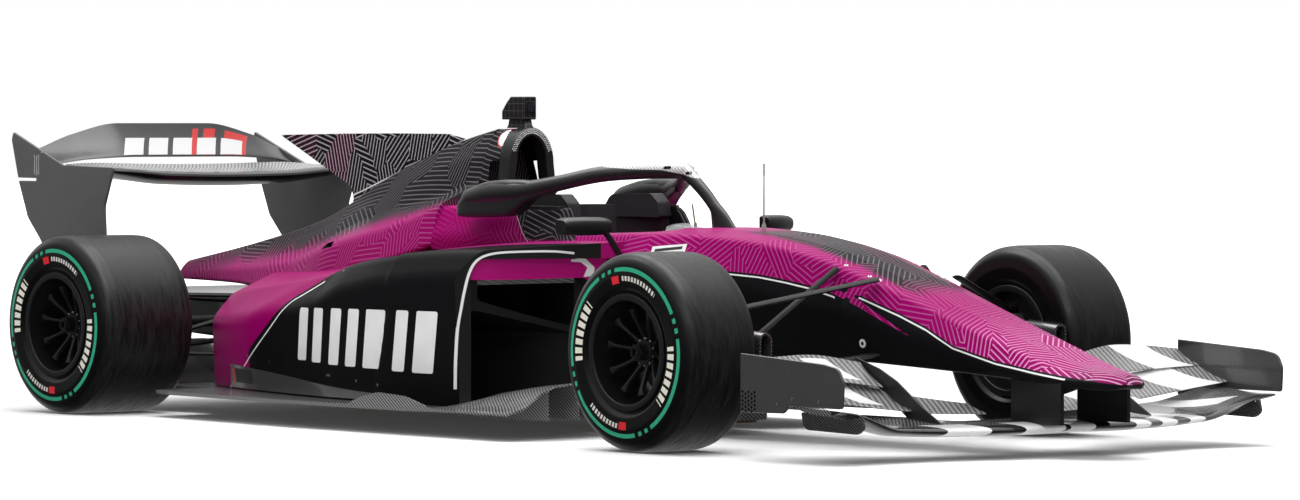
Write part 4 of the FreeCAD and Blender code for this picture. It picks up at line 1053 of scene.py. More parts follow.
def cover_corners(row, radii=(22, 60, 50, 60, 12), grow=0.0):
    flat = row[-2 * len(radii):]
    return mirrored([(flat[2 * i] + grow, flat[2 * i + 1] + grow, radius) for i, radius in enumerate(radii)])


# Slots in the side of the cover: x of both ends, z at both ends, and how far each end leans, in millimetres.
COVER_SLOTS = [(-2520, -2430, 604, 574, 10), (-2846, -2806, 486, 430, 18), (-2592, -2506, 488, 452, 14)]


def make_cover():
    shell = Shell("engine_cover_shell", COVER_ROWS, cover_corners, 12, [livery(), interior()], line=8)
    cuts = []
    for x0, x1, z0, z1, lean in COVER_SLOTS:
        outline = side_on([(x0, z0 - lean), (x1 - 14, z0), (x1, z1 + lean), (x0 + 10, z1)])
        slot = prism("slot", outline, -0.36, -0.10, interior(), "y")
        cuts += [slot, twin(slot, "slot_twin")]
    carve(shell.obj, *cuts)
    obj = shell.paint(cover_paint)
    tidy(obj, 35, outwards=False)
    settle(join("engine_cover_set", [obj] + make_spine()), "chassis", "engine_cover")


# Columns: x ahead of the front axle, then half width and z of the spine's ridge, neck, waist and foot.
SPINE_ROWS = [(-1791.5, 40, 994, 86, 905, 112, 810, 124, 702), (-1704, 44, 996, 94, 905, 110, 810, 120, 702)]


def make_spine():
    """Hollow fairing between cover and roll hoop, with a window in each side and a blank round sign."""
    corners = partial(cover_corners, radii=(52, 70, 50, 4))
    shell = Shell("spine_shell", SPINE_ROWS, corners, 10, [livery(), interior()], line=8)
    hollow = loft_object("hollow", [section(x, [(a, b - (6 if b < 600 else 0)) for a, b in
                                                ring(corners(r, grow=-3), 8, 8)])
                                    for x, r in zip((-1796, -1700), SPINE_ROWS)], interior())
    window = ring([(-1754, 886, 6), (-1690, 886, 6), (-1690, 822, 6), (-1748, 822, 6)], 4, 2)
    carve(shell.obj, hollow, prism("window", side_on(window), -0.2, 0.2, interior(), "y"))
    obj = shell.paint(cover_paint)
    tidy(obj, 35, outwards=False)
    onto = tree_of(obj)
    signs = []
    for start in BOTH_SIDES:
        for radius, finish, lift in ((0.040, red_paint(), 0.0006), (0.034, white_paint(), 0.0011)):
            circle = [(fx(-1712) + radius * math.cos(a), 0.963 + radius * 0.8 * math.sin(a)) for a in around(32)]
            signs.append(decal("sign", circle, onto, finish, start, lift=lift))
    return [obj] + signs


# Columns: x ahead of the front axle, z, radius of the corner.
FIN_OUTLINE = [(-1990, 955, 30), (-2104, 976, 60), (-2400, 977, 400), (-2700, 975, 400), (-3072, 969, 3),
               (-2655, 790, 20), (-2640, 745, 30), (-2665, 690, 40), (-2690, 640, 4), (-2400, 760, 100),
               (-2010, 900, 40)]


# Middle of the fin's pinstripe, as (x, z) points.
FIN_PIN = [(-2700, 740), (-2496, 804), (-2121, 922), (-2009, 955), (-1900, 985)]


FIN_HALF = 0.005


def make_fin():
    loop = side_on(ring(FIN_OUTLINE, 5, 2))
    bm = bmesh.new()
    bm.faces.new([bm.verts.new((a, FIN_HALF, b)) for a, b in loop])
    sliced(bm, loop, 2)
    made = bmesh.ops.extrude_face_region(bm, geom=bm.faces[:])
    for v in made["geom"]:
        if isinstance(v, bmesh.types.BMVert):
            v.co.y = -FIN_HALF
    obj = placed("fin_shell", emptied(bm, "fin_shell"))
    tidy(obj, 35)
    softened(obj, 0.0022, 2)
    obj.data.materials.append(livery())
    spots = coords(obj)
    x, _, z = from_axle(spots)
    attribute(obj, "wrap", np.stack([spots[:, 0], spots[:, 2], spots[:, 0] * 0], axis=1))
    # The fin's lines all take the brighter colours, a painted highlight.
    painted(obj, {"edge": np.full_like(x, 1000.0), "lined": np.full_like(x, 2.0),
                  "pin": z - curve(FIN_PIN, x),
                  "tone": 1.0 - 0.25 * smooth_step(-x, 2500, 2690)})
    settle(obj, "chassis", "shark_fin")


def pod_corners(row):
    _, _, top_in, shoulder_y, shoulder_z, outer_y, outer_z, low_y = row
    return [(-140, top_in + 16, 4), (-shoulder_y, shoulder_z, 70), (-outer_y, outer_z, 75), (-low_y, 92.5, 10),
            (-140, 92.5, 4)]


# The shelf's lip runs straight from here to here: x ahead of the front axle, y.
LIP = ((-860, -300), (-1150, -740))
# The y of both ends of the mouth under it.
MOUTH_OUTER, MOUTH_INNER = -681, -300


def lip_x(y, back=0.0):
    """Station of the shelf's lip at a given y, moved back by so many millimetres."""
    (x0, y0), (x1, y1) = LIP
    return x0 + (x1 - x0) / (y1 - y0) * (y - y0) - back


def lip_loft(name, outline, backs, material):
    """Closed loft across the lip: the same (y, z) outline at distances behind the lip, outboard and inboard."""
    wide = MOUTH_INNER - MOUTH_OUTER
    return loft_object(name, [
        [(fx(lip_x(a, outer + (inner - outer) * (a - MOUTH_OUTER) / wide)), a * MM, b * MM) for a, b in outline]
        for outer, inner in backs], material)


def make_pods():
    finishes = [livery(), black_gloss(), brightened_body(), interior()]
    shell = Shell("sidepod_shell_right", POD_ROWS, pod_corners, 11, finishes, line=12)
    # The board and shelf stand a step proud of the flank behind them.
    spots = coords(shell.obj)
    x, y, z = from_axle(spots)
    behind = smooth_step(curve(BOARD_EDGE, z) - x, -4, 18)
    spots[:, 1] += behind * smooth_step(-y, 560, 640) * smooth_step(z, 96, 110) * 0.012
    spots[:, 2] -= behind * smooth_step(-y, 480, 560) * smooth_step(z, 500, 560) * 0.005
    shell.obj.data.vertices.foreach_set("co", spots.ravel())
    if len(spots) == len(shell.points):
        shell.points = spots.copy()
    cuts = []
    # The root and recess cuts leave faces in the brightened body colour, painted light for the shade under the
    # shelf.
    for name, inner, outer, finish in (("ahead", -326, -800, black_gloss()), ("root", -100, -326.5, brightened_body())):
        outline = [(fx(lip_x(a)), a * MM) for a in (inner, outer)] + [(fx(-500), a * MM) for a in (outer, inner)]
        cuts.append(prism(name, outline, 0.0, 0.8, finish))
    shelf = ring([(-200, 576, 10), (-683, 573, 78), (-683, 470, 4), (-200, 470, 4)], 12, 10)
    cuts.append(lip_loft("recess", shelf, ((-80, -80), (16, 44)), brightened_body()))
    mouth = rectangle(-200, MOUTH_OUTER, 505, 60, (4, 4), 4, 10)
    cuts.append(lip_loft("face", mouth, ((-80, -80), (36, 122)), black_gloss()))
    inlet = ring([(-340, 512, 20), (-640, 503, 26), (-642, 438, 22), (-480, 387, 300), (-340, 348, 20)], 8, 6)
    cuts.append(lip_loft("duct", inlet, ((0, 0), (350, 350)), interior()))
    low_front = ring([(-290, 330, 30), (-680, 415, 40), (-680, 60, 4), (-290, 60, 4)], 8, 6)
    low_rear = ring([(-560, 320, 30), (-680, 355, 40), (-680, 60, 4), (-560, 60, 4)], 8, 6)
    under = [[(fx(lip_x(a, back)), a * MM, b * MM) for a, b in low_front + (low_rear - low_front) * share]
             for back, share in ((20, 0), (120, 0.18), (230, 0.45), (330, 0.75), (430, 1))]
    cuts.append(loft_object("under", under, black_gloss()))
    carve(shell.obj, *cuts)
    obj = shell.paint(pod_paint)
    # Only the upright face under the shelf carries the brightened body colour, which is painted light against the
    # shelf's shade.
    names = [m.name for m in obj.data.materials]
    gloss, colour = names.index(black_gloss().name), names.index(brightened_body().name)
    for p in obj.data.polygons:
        if p.material_index == colour and p.center.x < fx(-890) and (abs(p.normal.z) > 0.5 or p.center.z < 0.5045):
            p.material_index = gloss
    tidy(obj, 32, outwards=False)
    whole = join("sidepod_set_right", [obj] + pod_marks(tree_of(obj)))
    settle(whole, "chassis", "sidepod_right")
    settle(twin(whole, "sidepod_set_left"), "chassis", "sidepod_left")


def slanted(x0, x1, z0, z1, lean, corner=9):
    """Bar with rounded corners, leaning forward by so many millimetres."""
    outline = [(x0, z0, corner), (x1, z0, corner), (x1 + lean, z1, corner), (x0 + lean, z1, corner)]
    return side_on(ring(outline, 4, 2))


# Columns: x from and to, z from and to.
POD_BARS = [(-2096, -2032, 214, 392), (-1990, -1926, 210, 394), (-1872, -1808, 206, 396), (-1766, -1702, 204, 397),
            (-1660, -1552, 202, 398), (-1478, -1414, 198, 400), (-1372, -1264, 196, 400)]
SILL = [(-1526, 98), (-1526, 118), (-1709, 124), (-1875, 134), (-2129, 152), (-2387, 167), (-2690, 178),
        (-2690, 98)]
FRONT_PLATE_SCREWS = [(693, 178), (698, 120), (760, 196), (880, 190)]
REAR_PLATE_SCREWS = [(-3962, 930), (-3916, 834), (-3916, 783), (-3878, 682), (-3520, 823), (-3785, 905)]
# The rear edge of the board, as (z, x) points.
BOARD_EDGE = [(97, -1567), (167, -1562), (412, -1486), (586, -1517)]
# The white line on the front of the board, as (y, z) points.
LIP_LINE = [(-724, 150), (-723, 240), (-718, 344), (-709, 409), (-701, 461), (-688, 523), (-671, 562), (-645, 583),
            (-603, 594), (-522, 598), (-453, 598), (-400, 592)]
LIP_LINE_HALF = 0.0036
# White band at the inner end of the shelf, as (y, z) points.
SHELF_BAND = [(-388, 571), (-361, 575), (-347, 573), (-322, 545), (-325, 517), (-353, 514), (-342, 545),
              (-361, 562), (-388, 564)]
POD_SCREWS = [(-1868, 520), (-1868, 170), (-1884, 170), (-2330, 196), (-2520, 214), (-1560, 150), (-1700, 158)]


def pod_marks(onto):
    """Bars, sill strip, seam and blank label laid on the right flank."""
    marks = [decal("bar", slanted(*bar, 34), onto, white_paint(), step=0.016) for bar in POD_BARS]
    sill = carbon("sill_carbon", tow=0.003, light=0.13, gloss=0.34)
    edge = side_on([(x, z) for z, x in BOARD_EDGE])
    for name, outline, finish, lift in (
            ("sill", side_on(SILL), sill, 0.0009),
            ("label", slanted(-2633, -2475, 116, 164, -14, 4), black_satin(), 0.0014),
            ("label_edge", slanted(-2660, -2634, 114, 164, -14, 3), red_paint(), 0.0014),
            ("seam", side_on([(-1889, 150), (-1886.5, 150), (-1886.5, 542), (-1889, 542)]), interior(), 0.0004)):
        marks.append(decal(name, outline, onto, finish, lift=lift))
    strip = ((-642, 488), (-642, 503), (-342, 510), (-342, 494))
    marks.append(lip_loft("inlet_strip", strip, ((36, 122), (31, 117)),
                          carbon("strip_carbon", light=0.30, tow=0.003)))
    marks.append(loft_object("band", [[(fx(lip_x(a, 16 + (a + 683) / 383 * 28 - proud)), a * MM, b * MM)
                                       for a, b in SHELF_BAND] for proud in (0, 1.2)], white_paint()))
    # The white line up the front of the board and along the shelf's lip.
    path = curve_through([(a * MM, 0, b * MM, 0) for a, b in LIP_LINE], 70)
    rows = []
    for k, (a, _, b, _) in enumerate(path):
        before, after = path[max(k - 1, 0)], path[min(k + 1, len(path) - 1)]
        run = np.array([after[0] - before[0], after[2] - before[2]])
        side = np.array([run[1], -run[0]]) / np.linalg.norm(run) * LIP_LINE_HALF
        hit, _, _, _ = onto.ray_cast(Vector((fx(lip_x(a / MM, 6)), a, 1.2)), Vector((0, 0, -1)))
        b = min(b, hit.z - 0.009) if hit is not None else b
        rows.append([(fx(lip_x((a + f * side[0]) / MM, back)), a + f * side[0], b + f * side[1])
                     for f, back in ((-1, -1.2), (1, -1.2), (1, 2), (-1, 2))])
    marks.append(loft_object("lip_line", rows, white_paint()))
    gap = edge + [(a - 0.006, b) for a, b in reversed(edge)]
    marks.append(decal("board_gap", gap, onto, interior(), lift=0.0012))
    marks.append(screws("pod_screws", onto, POD_SCREWS))
    return marks


# ------------------------------------------------------------------ wings
def foil_points(y, x, z, chord, pitch, thick, camber, count=14):
    """Wing section in the plane y, round at the nose and thin at the tail, with each point's share of the chord."""
    turn = math.radians(pitch)
    share = (1 - np.cos(np.linspace(0, math.pi, count))) / 2
    half = thick * 0.5 * (2.6 * np.sqrt(share) - 1.1 * share - 1.5 * share**2) / 0.98
    half = half * 0.92 + 1.2 * share
    sag = -camber * 4 * share * (1 - share) * 0.95
    round_it = list(zip(share, sag + half)) + list(zip(share, sag - half))[:0:-1]
    points = [(x - math.cos(turn) * chord * s + math.sin(turn) * h, y,
               z + math.sin(turn) * chord * s + math.cos(turn) * h) for s, h in round_it]
    return points, [s for s, _ in round_it]


def wing(name, rows, kind, material, count=60, side=0):
    """Smooth wing through rows of (y, x, z, chord, pitch, thick, camber); side 0 spans both halves."""
    halves = [side] if side else [-1, 1]
    rows = sorted({(half * r[0],) + tuple(r[1:]) for r in rows for half in halves}, key=lambda r: r[0])
    where = np.linspace(rows[0][0], rows[-1][0], count)
    verts, shares, spans = [], [], []
    for y, row in zip(where, eased_rows(rows, where)):
        points, share = foil_points(y, *row)
        verts += [(at(kind, a), b * MM, c * MM) for a, b, c in points]
        shares += share
        spans += [y * MM] * len(points)
    obj = mesh_object(name, verts, grid_faces(count, len(points)), material, 40)
    for key, values in (("share", shares), ("span", spans)):
        if len(obj.data.vertices) == len(values):
            attribute(obj, key, values)
    return obj


# Columns of the wings' rows: y, x ahead of the axle, z, chord, pitch in degrees, thickness, camber.
MAIN_ROWS = [(0, 1030, 92, 250, 4, 42, 8), (240, 1020, 90, 250, 4, 42, 8), (420, 985, 90, 260, 7, 40, 14),
             (645, 948, 96, 260, 9, 34, 18), (850, 963, 152, 250, 6, 24, 16), (920.7, 965, 162, 245, 5, 18, 14)]
LOWER_ROWS = [(165, 792, 128, 90, 18, 9, 5), (320, 775, 132, 120, 22, 11, 8), (520, 745, 150, 150, 26, 13, 12),
              (760, 745, 178, 150, 24, 13, 12), (920.7, 750, 196, 140, 20, 12, 10)]
UPPER_ROWS = [(455, 640, 212, 130, 34, 11, 10), (620, 628, 232, 140, 34, 12, 12), (780, 622, 240, 135, 30, 12, 12),
              (920.7, 624, 244, 115, 26, 11, 10)]
REAR_MAIN_ROWS = [(0, -245, 818, 300, 8, 56, 26), (260, -250, 822, 295, 8, 54, 24),
                  (440, -255, 836, 285, 6, 44, 18), (533.7, -258, 842, 280, 4, 30, 12)]
REAR_FLAP_ROWS = [(0, -560, 888, 180, 42, 20, 16), (200, -560, 888, 180, 42, 20, 16),
                  (400, -575, 880, 150, 36, 17, 12), (533.7, -600, 862, 120, 28, 14, 8)]


@surface()
def marked_carbon(t, marks, tow=0.0035, light=0.10, coat=0.8, dark=0.012):
    """Carbon cloth with painted blocks.

    Marks are (colour, low and high share of the chord, lean, low and high y), then pitch and painted share of the
    pitch for a row of bars.
    """
    weave, height = t.group(twill_group(), Vector=t.place(), Tow=tow).values()
    colour = t.mix(weave, (dark, dark, dark, 1), (light, light, light, 1))
    share, span = t.read("share"), t.read("span")
    for tint, low, high, lean, y0, y1, *bars in marks:
        shifted = span + share * lean
        inside = (share > low) * (share < high) * (shifted > y0) * (shifted < y1)
        if bars:
            inside = inside * (t.math("FRACT", shifted / bars[0] + 50.0) < bars[1])
        colour = t.mix(inside, colour, tint)
    t.shader(colour, 0.26, Normal=t.bump(height, 0.1, 0.0003), Coat_Weight=coat, Coat_Roughness=0.08)


def blocks(tint, low, high, lean, *reaches):
    """Marks of one kind at several reaches of y, in millimetres."""
    return [(tint, low, high, lean, y0 * MM, y1 * MM) for y0, y1 in reaches]


def vents(name, onto, spots, start, radius, finish):
    """Small round holes at (x, z) spots."""
    return scattered(name, disc(radius, 10, 0.0004), spots_on(onto, spots, start), finish)


def studded(plates, *rules):
    """Settles what each rule makes on a surface, on both sides of the endplates."""
    onto = tree_of(plates)
    for start, rule in product(BOTH_SIDES, rules):
        settle(rule(onto=onto, start=start), "chassis")


def make_front_wing():
    marks = blocks((0.006, 0.006, 0.006, 1), -0.1, 0.16, 0.0, (-930, 930))
    marks += blocks(WHITE, -0.1, 0.34, 0.12, (-489, -338), (-213, -54), (-33, 73), (257, 335), (398, 481),
                    (551, 626))
    marks.append((WHITE, 0.34, 1.1, 0.25, 0.12, 0.93, 0.42, 0.5))
    main = wing("front_main_plane", MAIN_ROWS, "f", marked_carbon("front_wing_carbon", marks, light=0.16), 110)
    settle(main, "chassis", "front_wing_main_plane")
    marks = [(WHITE, -0.1, 1.1, 0.10, 0.0, 0.93, 0.36, 0.48)] + blocks(WHITE, 0.2, 0.9, 0.10, (-600, -500))
    # Pale carbon colours with a thin coat: the pale tone is painted sheen, with white blocks over it.
    cloth = marked_carbon("flap_paint", marks, 0.005, 0.26, coat=0.25, dark=0.09)
    flaps = [wing("flap", rows, "f", cloth, 44, side) for rows in (LOWER_ROWS, UPPER_ROWS) for side in (-1, 1)]
    settle(join("front_flaps", flaps), "chassis", "front_wing_flaps")
    dress("front_wing")
    plates = dressed("front_wing_endplates", carbon("plate_carbon", tow=0.0032, light=0.085, gloss=0.34), 0.003)
    settle(plates, "chassis", "front_wing_endplates")
    # Dark discs stand for the vent holes: painted shade in them.
    holes = [(520 + 14 * i, 138 + 13 * j + 6 * (i % 2)) for i in range(6) for j in range(6)]
    studded(plates, partial(vents, "vent_holes", spots=holes, radius=0.0046, finish=interior()),
            partial(screws, "plate_screws", spots=FRONT_PLATE_SCREWS))


def make_rear_wing():
    marks = blocks((0.004, 0.004, 0.004, 1), -0.1, 0.22, 0.0, (-1000, 1000))
    # Pale carbon colours with a thin coat: the pale tone is a painted reflection, with a black band along the
    # leading edge.
    black = marked_carbon("rear_main_carbon", marks, 0.004, 0.30, coat=0.1, dark=0.10)
    settle(wing("rear_main_plane", REAR_MAIN_ROWS, "r", black, 70), "chassis", "rear_wing_main_plane")
    marks = blocks((0.38, 0.004, 0.003, 1), 0.04, 0.86, -0.11, (30, 56), (81, 132), (176, 281))
    marks += blocks((0.48, 0.48, 0.48, 1), 0.05, 0.60, -0.11, (-264, -180), (-157, -73), (-50, 34), (57, 141),
                    (164, 262))
    cloth = marked_carbon("rear_flap_paint", marks, 0.002, 0.018, coat=0.08, dark=0.008)
    settle(wing("rear_flap", REAR_FLAP_ROWS, "r", cloth, 90), "chassis", "rear_wing_flap")
    grey = plain("plate_grey", (0.085, 0.086, 0.088), 0.36, coat=0.2, scale=20)
    plates = dressed("rear_wing_endplates", grey, 0.003)
    settle(plates, "chassis", "rear_wing_endplates")
    holes = [(-3832 + 13 * i, 892 - 9 * j - 4.5 * (i % 2)) for i in range(3) for j in range(8)]
    studded(plates, partial(screws, "rear_plate_screws", spots=REAR_PLATE_SCREWS),
            partial(vents, "rear_plate_holes", spots=holes, radius=0.0024, finish=white_paint()))
    dress("rear_wing")


# ------------------------------------------------------------------ wheels
WHEELS = [  # name, axle x, |y| of the tyre's middle, tyre width, hub |y|, disc |y|
    ("front", FRONT_AXLE, 0.805, 0.300, 0.815, 0.760),
    ("rear", REAR_AXLE, 0.755, 0.400, 0.770, 0.700),
]


def tyre_loop(width):
    half = width / 2
    right = [(half - 14, 172, 2), (half - 14, 187, 3), (half - 3, 202, 12), (half - 0.4, 238, 50),
             (half - 6, 282, 40), (half - 30, 307, 34), (half - 70, 310, 60)]
    corners = right + [(-a, b, r) for a, b, r in reversed(right)]
    return [(a * MM, b * MM) for a, b in ring(corners, 7, 3)]


def rim_loop(width):
    """Half section of a rim with a stepped dish on its outer side."""
    half = width / 2
    lip, seat = half - 14, 171.7
    corners = [(lip + 0.3, seat, 1), (lip + 0.3, 183, 2), (lip + 8, 184, 3), (lip + 9, 172, 4), (lip - 3, 166, 2),
               (lip - 5, 159, 2), (lip - 15, 156, 2), (lip - 18, 147, 2), (lip - 27, 142, 3), (lip - 31, 130, 3),
               (lip - 42, 128, 3), (lip - 46, 150, 8), (lip - 60, 162, 8), (-lip + 14, seat - 9, 6),
               (-lip - 7, seat - 12, 5), (-lip - 7, 181, 3), (-lip - 0.3, 183, 2), (-lip - 0.3, seat, 1)]
    return [(a * MM, b * MM) for a, b in ring(corners, 4, 1)]


# Columns: distance from the axle, half width and half depth of a spoke, how far inside the rim's lip it lies.
SPOKE_ROWS = [(34, 16, 13, 84), (50, 10, 12, 78), (72, 7, 10, 66), (96, 7, 9, 53), (116, 9, 8, 43),
              (134, 17, 7, 38)]


def spoke_mesh(side, x, lip_y):
    """One spoke, waisted in the middle, rising from the hub out to the dish of the rim."""
    rows = []
    for r, wide, deep, inside in SPOKE_ROWS:
        y = side * (lip_y - inside * MM)
        loop = ring([(-wide, -deep, 3), (-wide * 0.7, deep, 5), (wide * 0.7, deep, 5), (wide, -deep, 3)], 3, 1)
        rows.append([(x + r * MM, y + side * b * MM, AXLE_Z + a * MM) for a, b in loop])
    return loft_object("spoke", rows, magnesium())


SPOKES, BOLTS, BOLT_CIRCLE = 10, 10, 0.042
SPOKE_TURN, BOLT_TURN = math.radians(9), 0.31


def make_wheels():
    segments = bpy.context.scene.rc_tyre.segments
    nut = plain("nut_black", (0.02, 0.02, 0.022), 0.3, metallic=0.6)
    disc_black = plain("disc_carbon", (0.03, 0.03, 0.03), 0.5)
    for (name, x, mid, width, hub, brake), (side, hand) in product(WHEELS, ((-1, "right"), (1, "left"))):
        rubber = tyre_rubber(f"{name}_rubber_{hand}", x, side * mid, side)
        tyre = turned(f"{name}_slick_{hand}", tyre_loop(width / MM), x, side * mid, rubber, segments)
        settle(tyre, f"{name}_wheel_{hand}", f"{name}_tyre_{hand}")
        parts = [turned("barrel", rim_loop(width / MM), x, side * mid, magnesium())]
        lip_y = mid + width / 2 - 0.014
        first = spoke_mesh(side, x, lip_y)
        for i in range(SPOKES):
            copy = placed("spoke", first.data.copy())
            turn = Matrix.Rotation(2 * math.pi * i / SPOKES + SPOKE_TURN, 4, "Y")
            copy.data.transform(Matrix.Translation((x, 0, AXLE_Z)) @ turn @ Matrix.Translation((-x, 0, -AXLE_Z)))
            parts.append(copy)
        bpy.data.objects.remove(first)
        # Hub, hexagon nut with its socket, brake disc and bell: y from and to, radius, finish, bore, sides.
        for y0, y1, radius, finish, inner, sides in (
                (hub - 0.020, lip_y - 0.072, 0.046, magnesium(), 0.0, 48),
                (lip_y - 0.073, lip_y - 0.064, 0.038, black_satin(), 0.0, 48),
                (lip_y - 0.065, lip_y - 0.034, 0.0285, nut, 0.015, 6),
                (lip_y - 0.040, lip_y - 0.027, 0.019, nut, 0.0125, 48),
                (lip_y - 0.060, lip_y - 0.044, 0.014, steel(), 0.008, 48),
                (brake - 0.014, brake + 0.014, 0.139, disc_black, 0.07, 48),
                (brake - 0.012, brake + 0.012, 0.069, steel(), 0.03, 48)):
            ends = [(x, side * y, AXLE_Z) for y in (y0, y1)]
            parts.append(drum("part", *ends, radius, finish, sides, inner))
        places = [((x + BOLT_CIRCLE * math.cos(a), side * (lip_y - 0.072), AXLE_Z + BOLT_CIRCLE * math.sin(a)),
                   (0, side, 0)) for a in around(BOLTS) + BOLT_TURN]
        bolt = knob([(0.0045, 0), (0.0045, 0.003), (0.003, 0.0045), (0, 0.0045)], 8)
        parts.append(scattered("bolts", bolt, places, steel()))
        settle(join(f"{name}_wheel_set_{hand}", parts), f"{name}_wheel_{hand}", f"{name}_rim_{hand}")


# ------------------------------------------------------------------ halo, hoop, cockpit
HALO_ROWS = [(-1600, 330, 752, 12), (-1560, 330, 762, 34), (-1440, 331, 779, 43), (-1340, 328, 786, 40),
             (-1270, 310, 794, 32), (-1168, 265, 817, 26), (-1056, 184, 846, 26), (-950, 91, 857, 26),
             (-860, 22, 859, 26), (-842, 0, 859, 26)]
# Columns: x of the front and back of the pillar, half width, z.
PILLAR_ROWS = [(-550, -694, 17, 640), (-584, -700, 16, 676), (-628, -706, 15, 722), (-676, -740, 15, 760),
               (-708, -778, 16, 790), (-746, -822, 18, 820), (-786, -874, 20, 850), (-806, -886, 21, 866),
               (-826, -880, 16, 878), (-838, -868, 8, 883)]
# Columns: x, lowest and highest z, half thickness of the fairing round each end of the hoop.
FAIRING_ROWS = [(-1603, 706, 750, 26), (-1590, 702, 762, 31), (-1540, 700, 795, 34), (-1440, 702, 822, 34),
                (-1335, 708, 828, 33), (-1300, 730, 828, 31), (-1272, 752, 826, 30), (-1230, 770, 823, 27),
                (-1194, 784, 820, 24)]


# Half width of the hoop inside its fairing, as (x, y) points.
HOOP_HALF = [(-1640, 330), (-1440, 331), (-1340, 328), (-1270, 310), (-1168, 265)]
# Lower edge of the cap over the front of the hoop, as (x, z) points.
CAP_EDGE = [(-1043, 872), (-960, 864), (-880, 862), (-840, 852), (-790, 838), (-766, 835)]


def make_halo():
    half = [(fx(x), -y * MM, z * MM, r * MM) for x, y, z, r in HALO_ROWS]
    smooth = curve_through(half + [(x, -y, z, r) for x, y, z, r in reversed(half[:-1])], 130)
    parts = [tube("hoop", [p[:3] for p in smooth], [p[3] for p in smooth], halo_paint(), 28)]
    heights = np.concatenate([np.linspace(640, 860, 24), [866, 871, 875, 879, 882, 883]])
    table = eased([r[3] for r in PILLAR_ROWS], [r[:3] for r in PILLAR_ROWS], heights)
    parts.append(loft_object("pillar", [
        [(fx((a + b) / 2 + (a - b) / 2 * math.cos(t)), w * math.sin(t) * MM * 1.05, z * MM) for t in around(32)]
        for z, (a, b, w) in zip(heights, table)], halo_paint()))
    places = np.linspace(FAIRING_ROWS[0][0], FAIRING_ROWS[-1][0], 40)
    for side in (-1, 1):
        loops = []
        for x, (low, high, half) in zip(places, eased_rows(FAIRING_ROWS, places)):
            y = side * curve(HOOP_HALF, x)
            room = min(half, (high - low) / 2)
            r, s = 0.85 * room, 0.4 * room
            loops.append(section(x, rectangle(y - half, y + half, low, high, (s, r), 6, 4)))
        parts.append(loft_object("fairing", loops, halo_paint()))
    halo = join("halo_frame", parts)
    # The cap covers the front of the hoop down to this line, with a dark notch in each side of it.
    spots = coords(halo)
    x, _, _ = from_axle(spots)
    attribute(halo, "cap", np.minimum(spots[:, 2] - curve(CAP_EDGE, x) * MM, (x - CAP_EDGE[0][0]) * MM * 0.5))
    onto = tree_of(halo)
    extras = []
    for (x0, z0), start in product(((-865, 869), (-804, 851)), BOTH_SIDES):
        notch = ring([(x0 - 11, z0 - 4, 3), (x0 + 11, z0 - 4, 3), (x0 + 9, z0 + 5, 3), (x0 - 9, z0 + 5, 3)], 4, 2)
        extras.append(decal("notch", side_on(notch), onto, interior(), start, 0.01, 0.0012))
    settle(join("halo_set", [halo] + extras), "chassis", "halo")


def arch(legs, wide, low, high, count=40):
    """Points up one leg, over an elliptic top and down the other leg."""
    over = [(wide * math.cos(t), low + (high - low) * math.sin(t)) for t in np.linspace(0, math.pi, count)]
    return [tuple(p) for p in legs] + over + [(-a, b) for a, b in reversed(legs)]


HOOP_FRONT, HOOP_BACK = -1645, -1701
# The hoop's outer arch: half width, z where it springs from the legs, z of its top.
ARCH_WIDE, ARCH_LOW, ARCH_HIGH = 97, 880, 1000


def make_hoop():
    outer = arch([(112, 690), (109, 745), (106, 800), (102, 840)], ARCH_WIDE, ARCH_LOW, ARCH_HIGH)
    inner = arch([(80, 690), (77, 745), (74, 800), (69, 840)], 64, ARCH_LOW, 970)
    verts = []
    for out, inn in zip(outer, inner):
        for x, points in ((HOOP_FRONT, [out]), (HOOP_BACK, [out, inn]), (HOOP_FRONT, [inn])):
            verts += section(x, points)
    finish = plain("hoop_dark", (0.012, 0.012, 0.013), 0.34, coat=0.15, scale=12, shine=0.4)
    obj = mesh_object("hoop_arch", verts, grid_faces(len(outer), 4), finish, 40)
    softened(obj, 0.005, 3)
    settle(obj, "chassis", "roll_hoop")
    # Three rows of dots follow the ellipse of the arch, the middle row half a step on.
    places, rise = [], ARCH_HIGH - ARCH_LOW
    for k, inset in enumerate((6, 12.5, 19)):
        for i in range(34):
            t = math.radians(22 + 136 * (i + 0.5 * (k % 2)) / 33.5)
            away = Vector((math.cos(t) / ARCH_WIDE, math.sin(t) / rise)).normalized()
            y, z = ARCH_WIDE * math.cos(t) - away.x * inset, ARCH_LOW + rise * math.sin(t) - away.y * inset
            places.append(((fx(HOOP_FRONT + 0.4), y * MM, z * MM), (1, 0, 0), (0, 0, 1)))
    settle(scattered("hoop_dots", disc(0.0023, 8), places, white_paint()), "chassis")


# Columns: |y| of a station of the mirror, x of its front, how much lower it is there at top and bottom.
MIRROR_ROWS = [(338, -806, 6), (352, -809, 1), (410, -826, 0), (474, -851, 2), (490, -858, 9)]
MIRROR_TOP, MIRROR_LOW = 711, 650


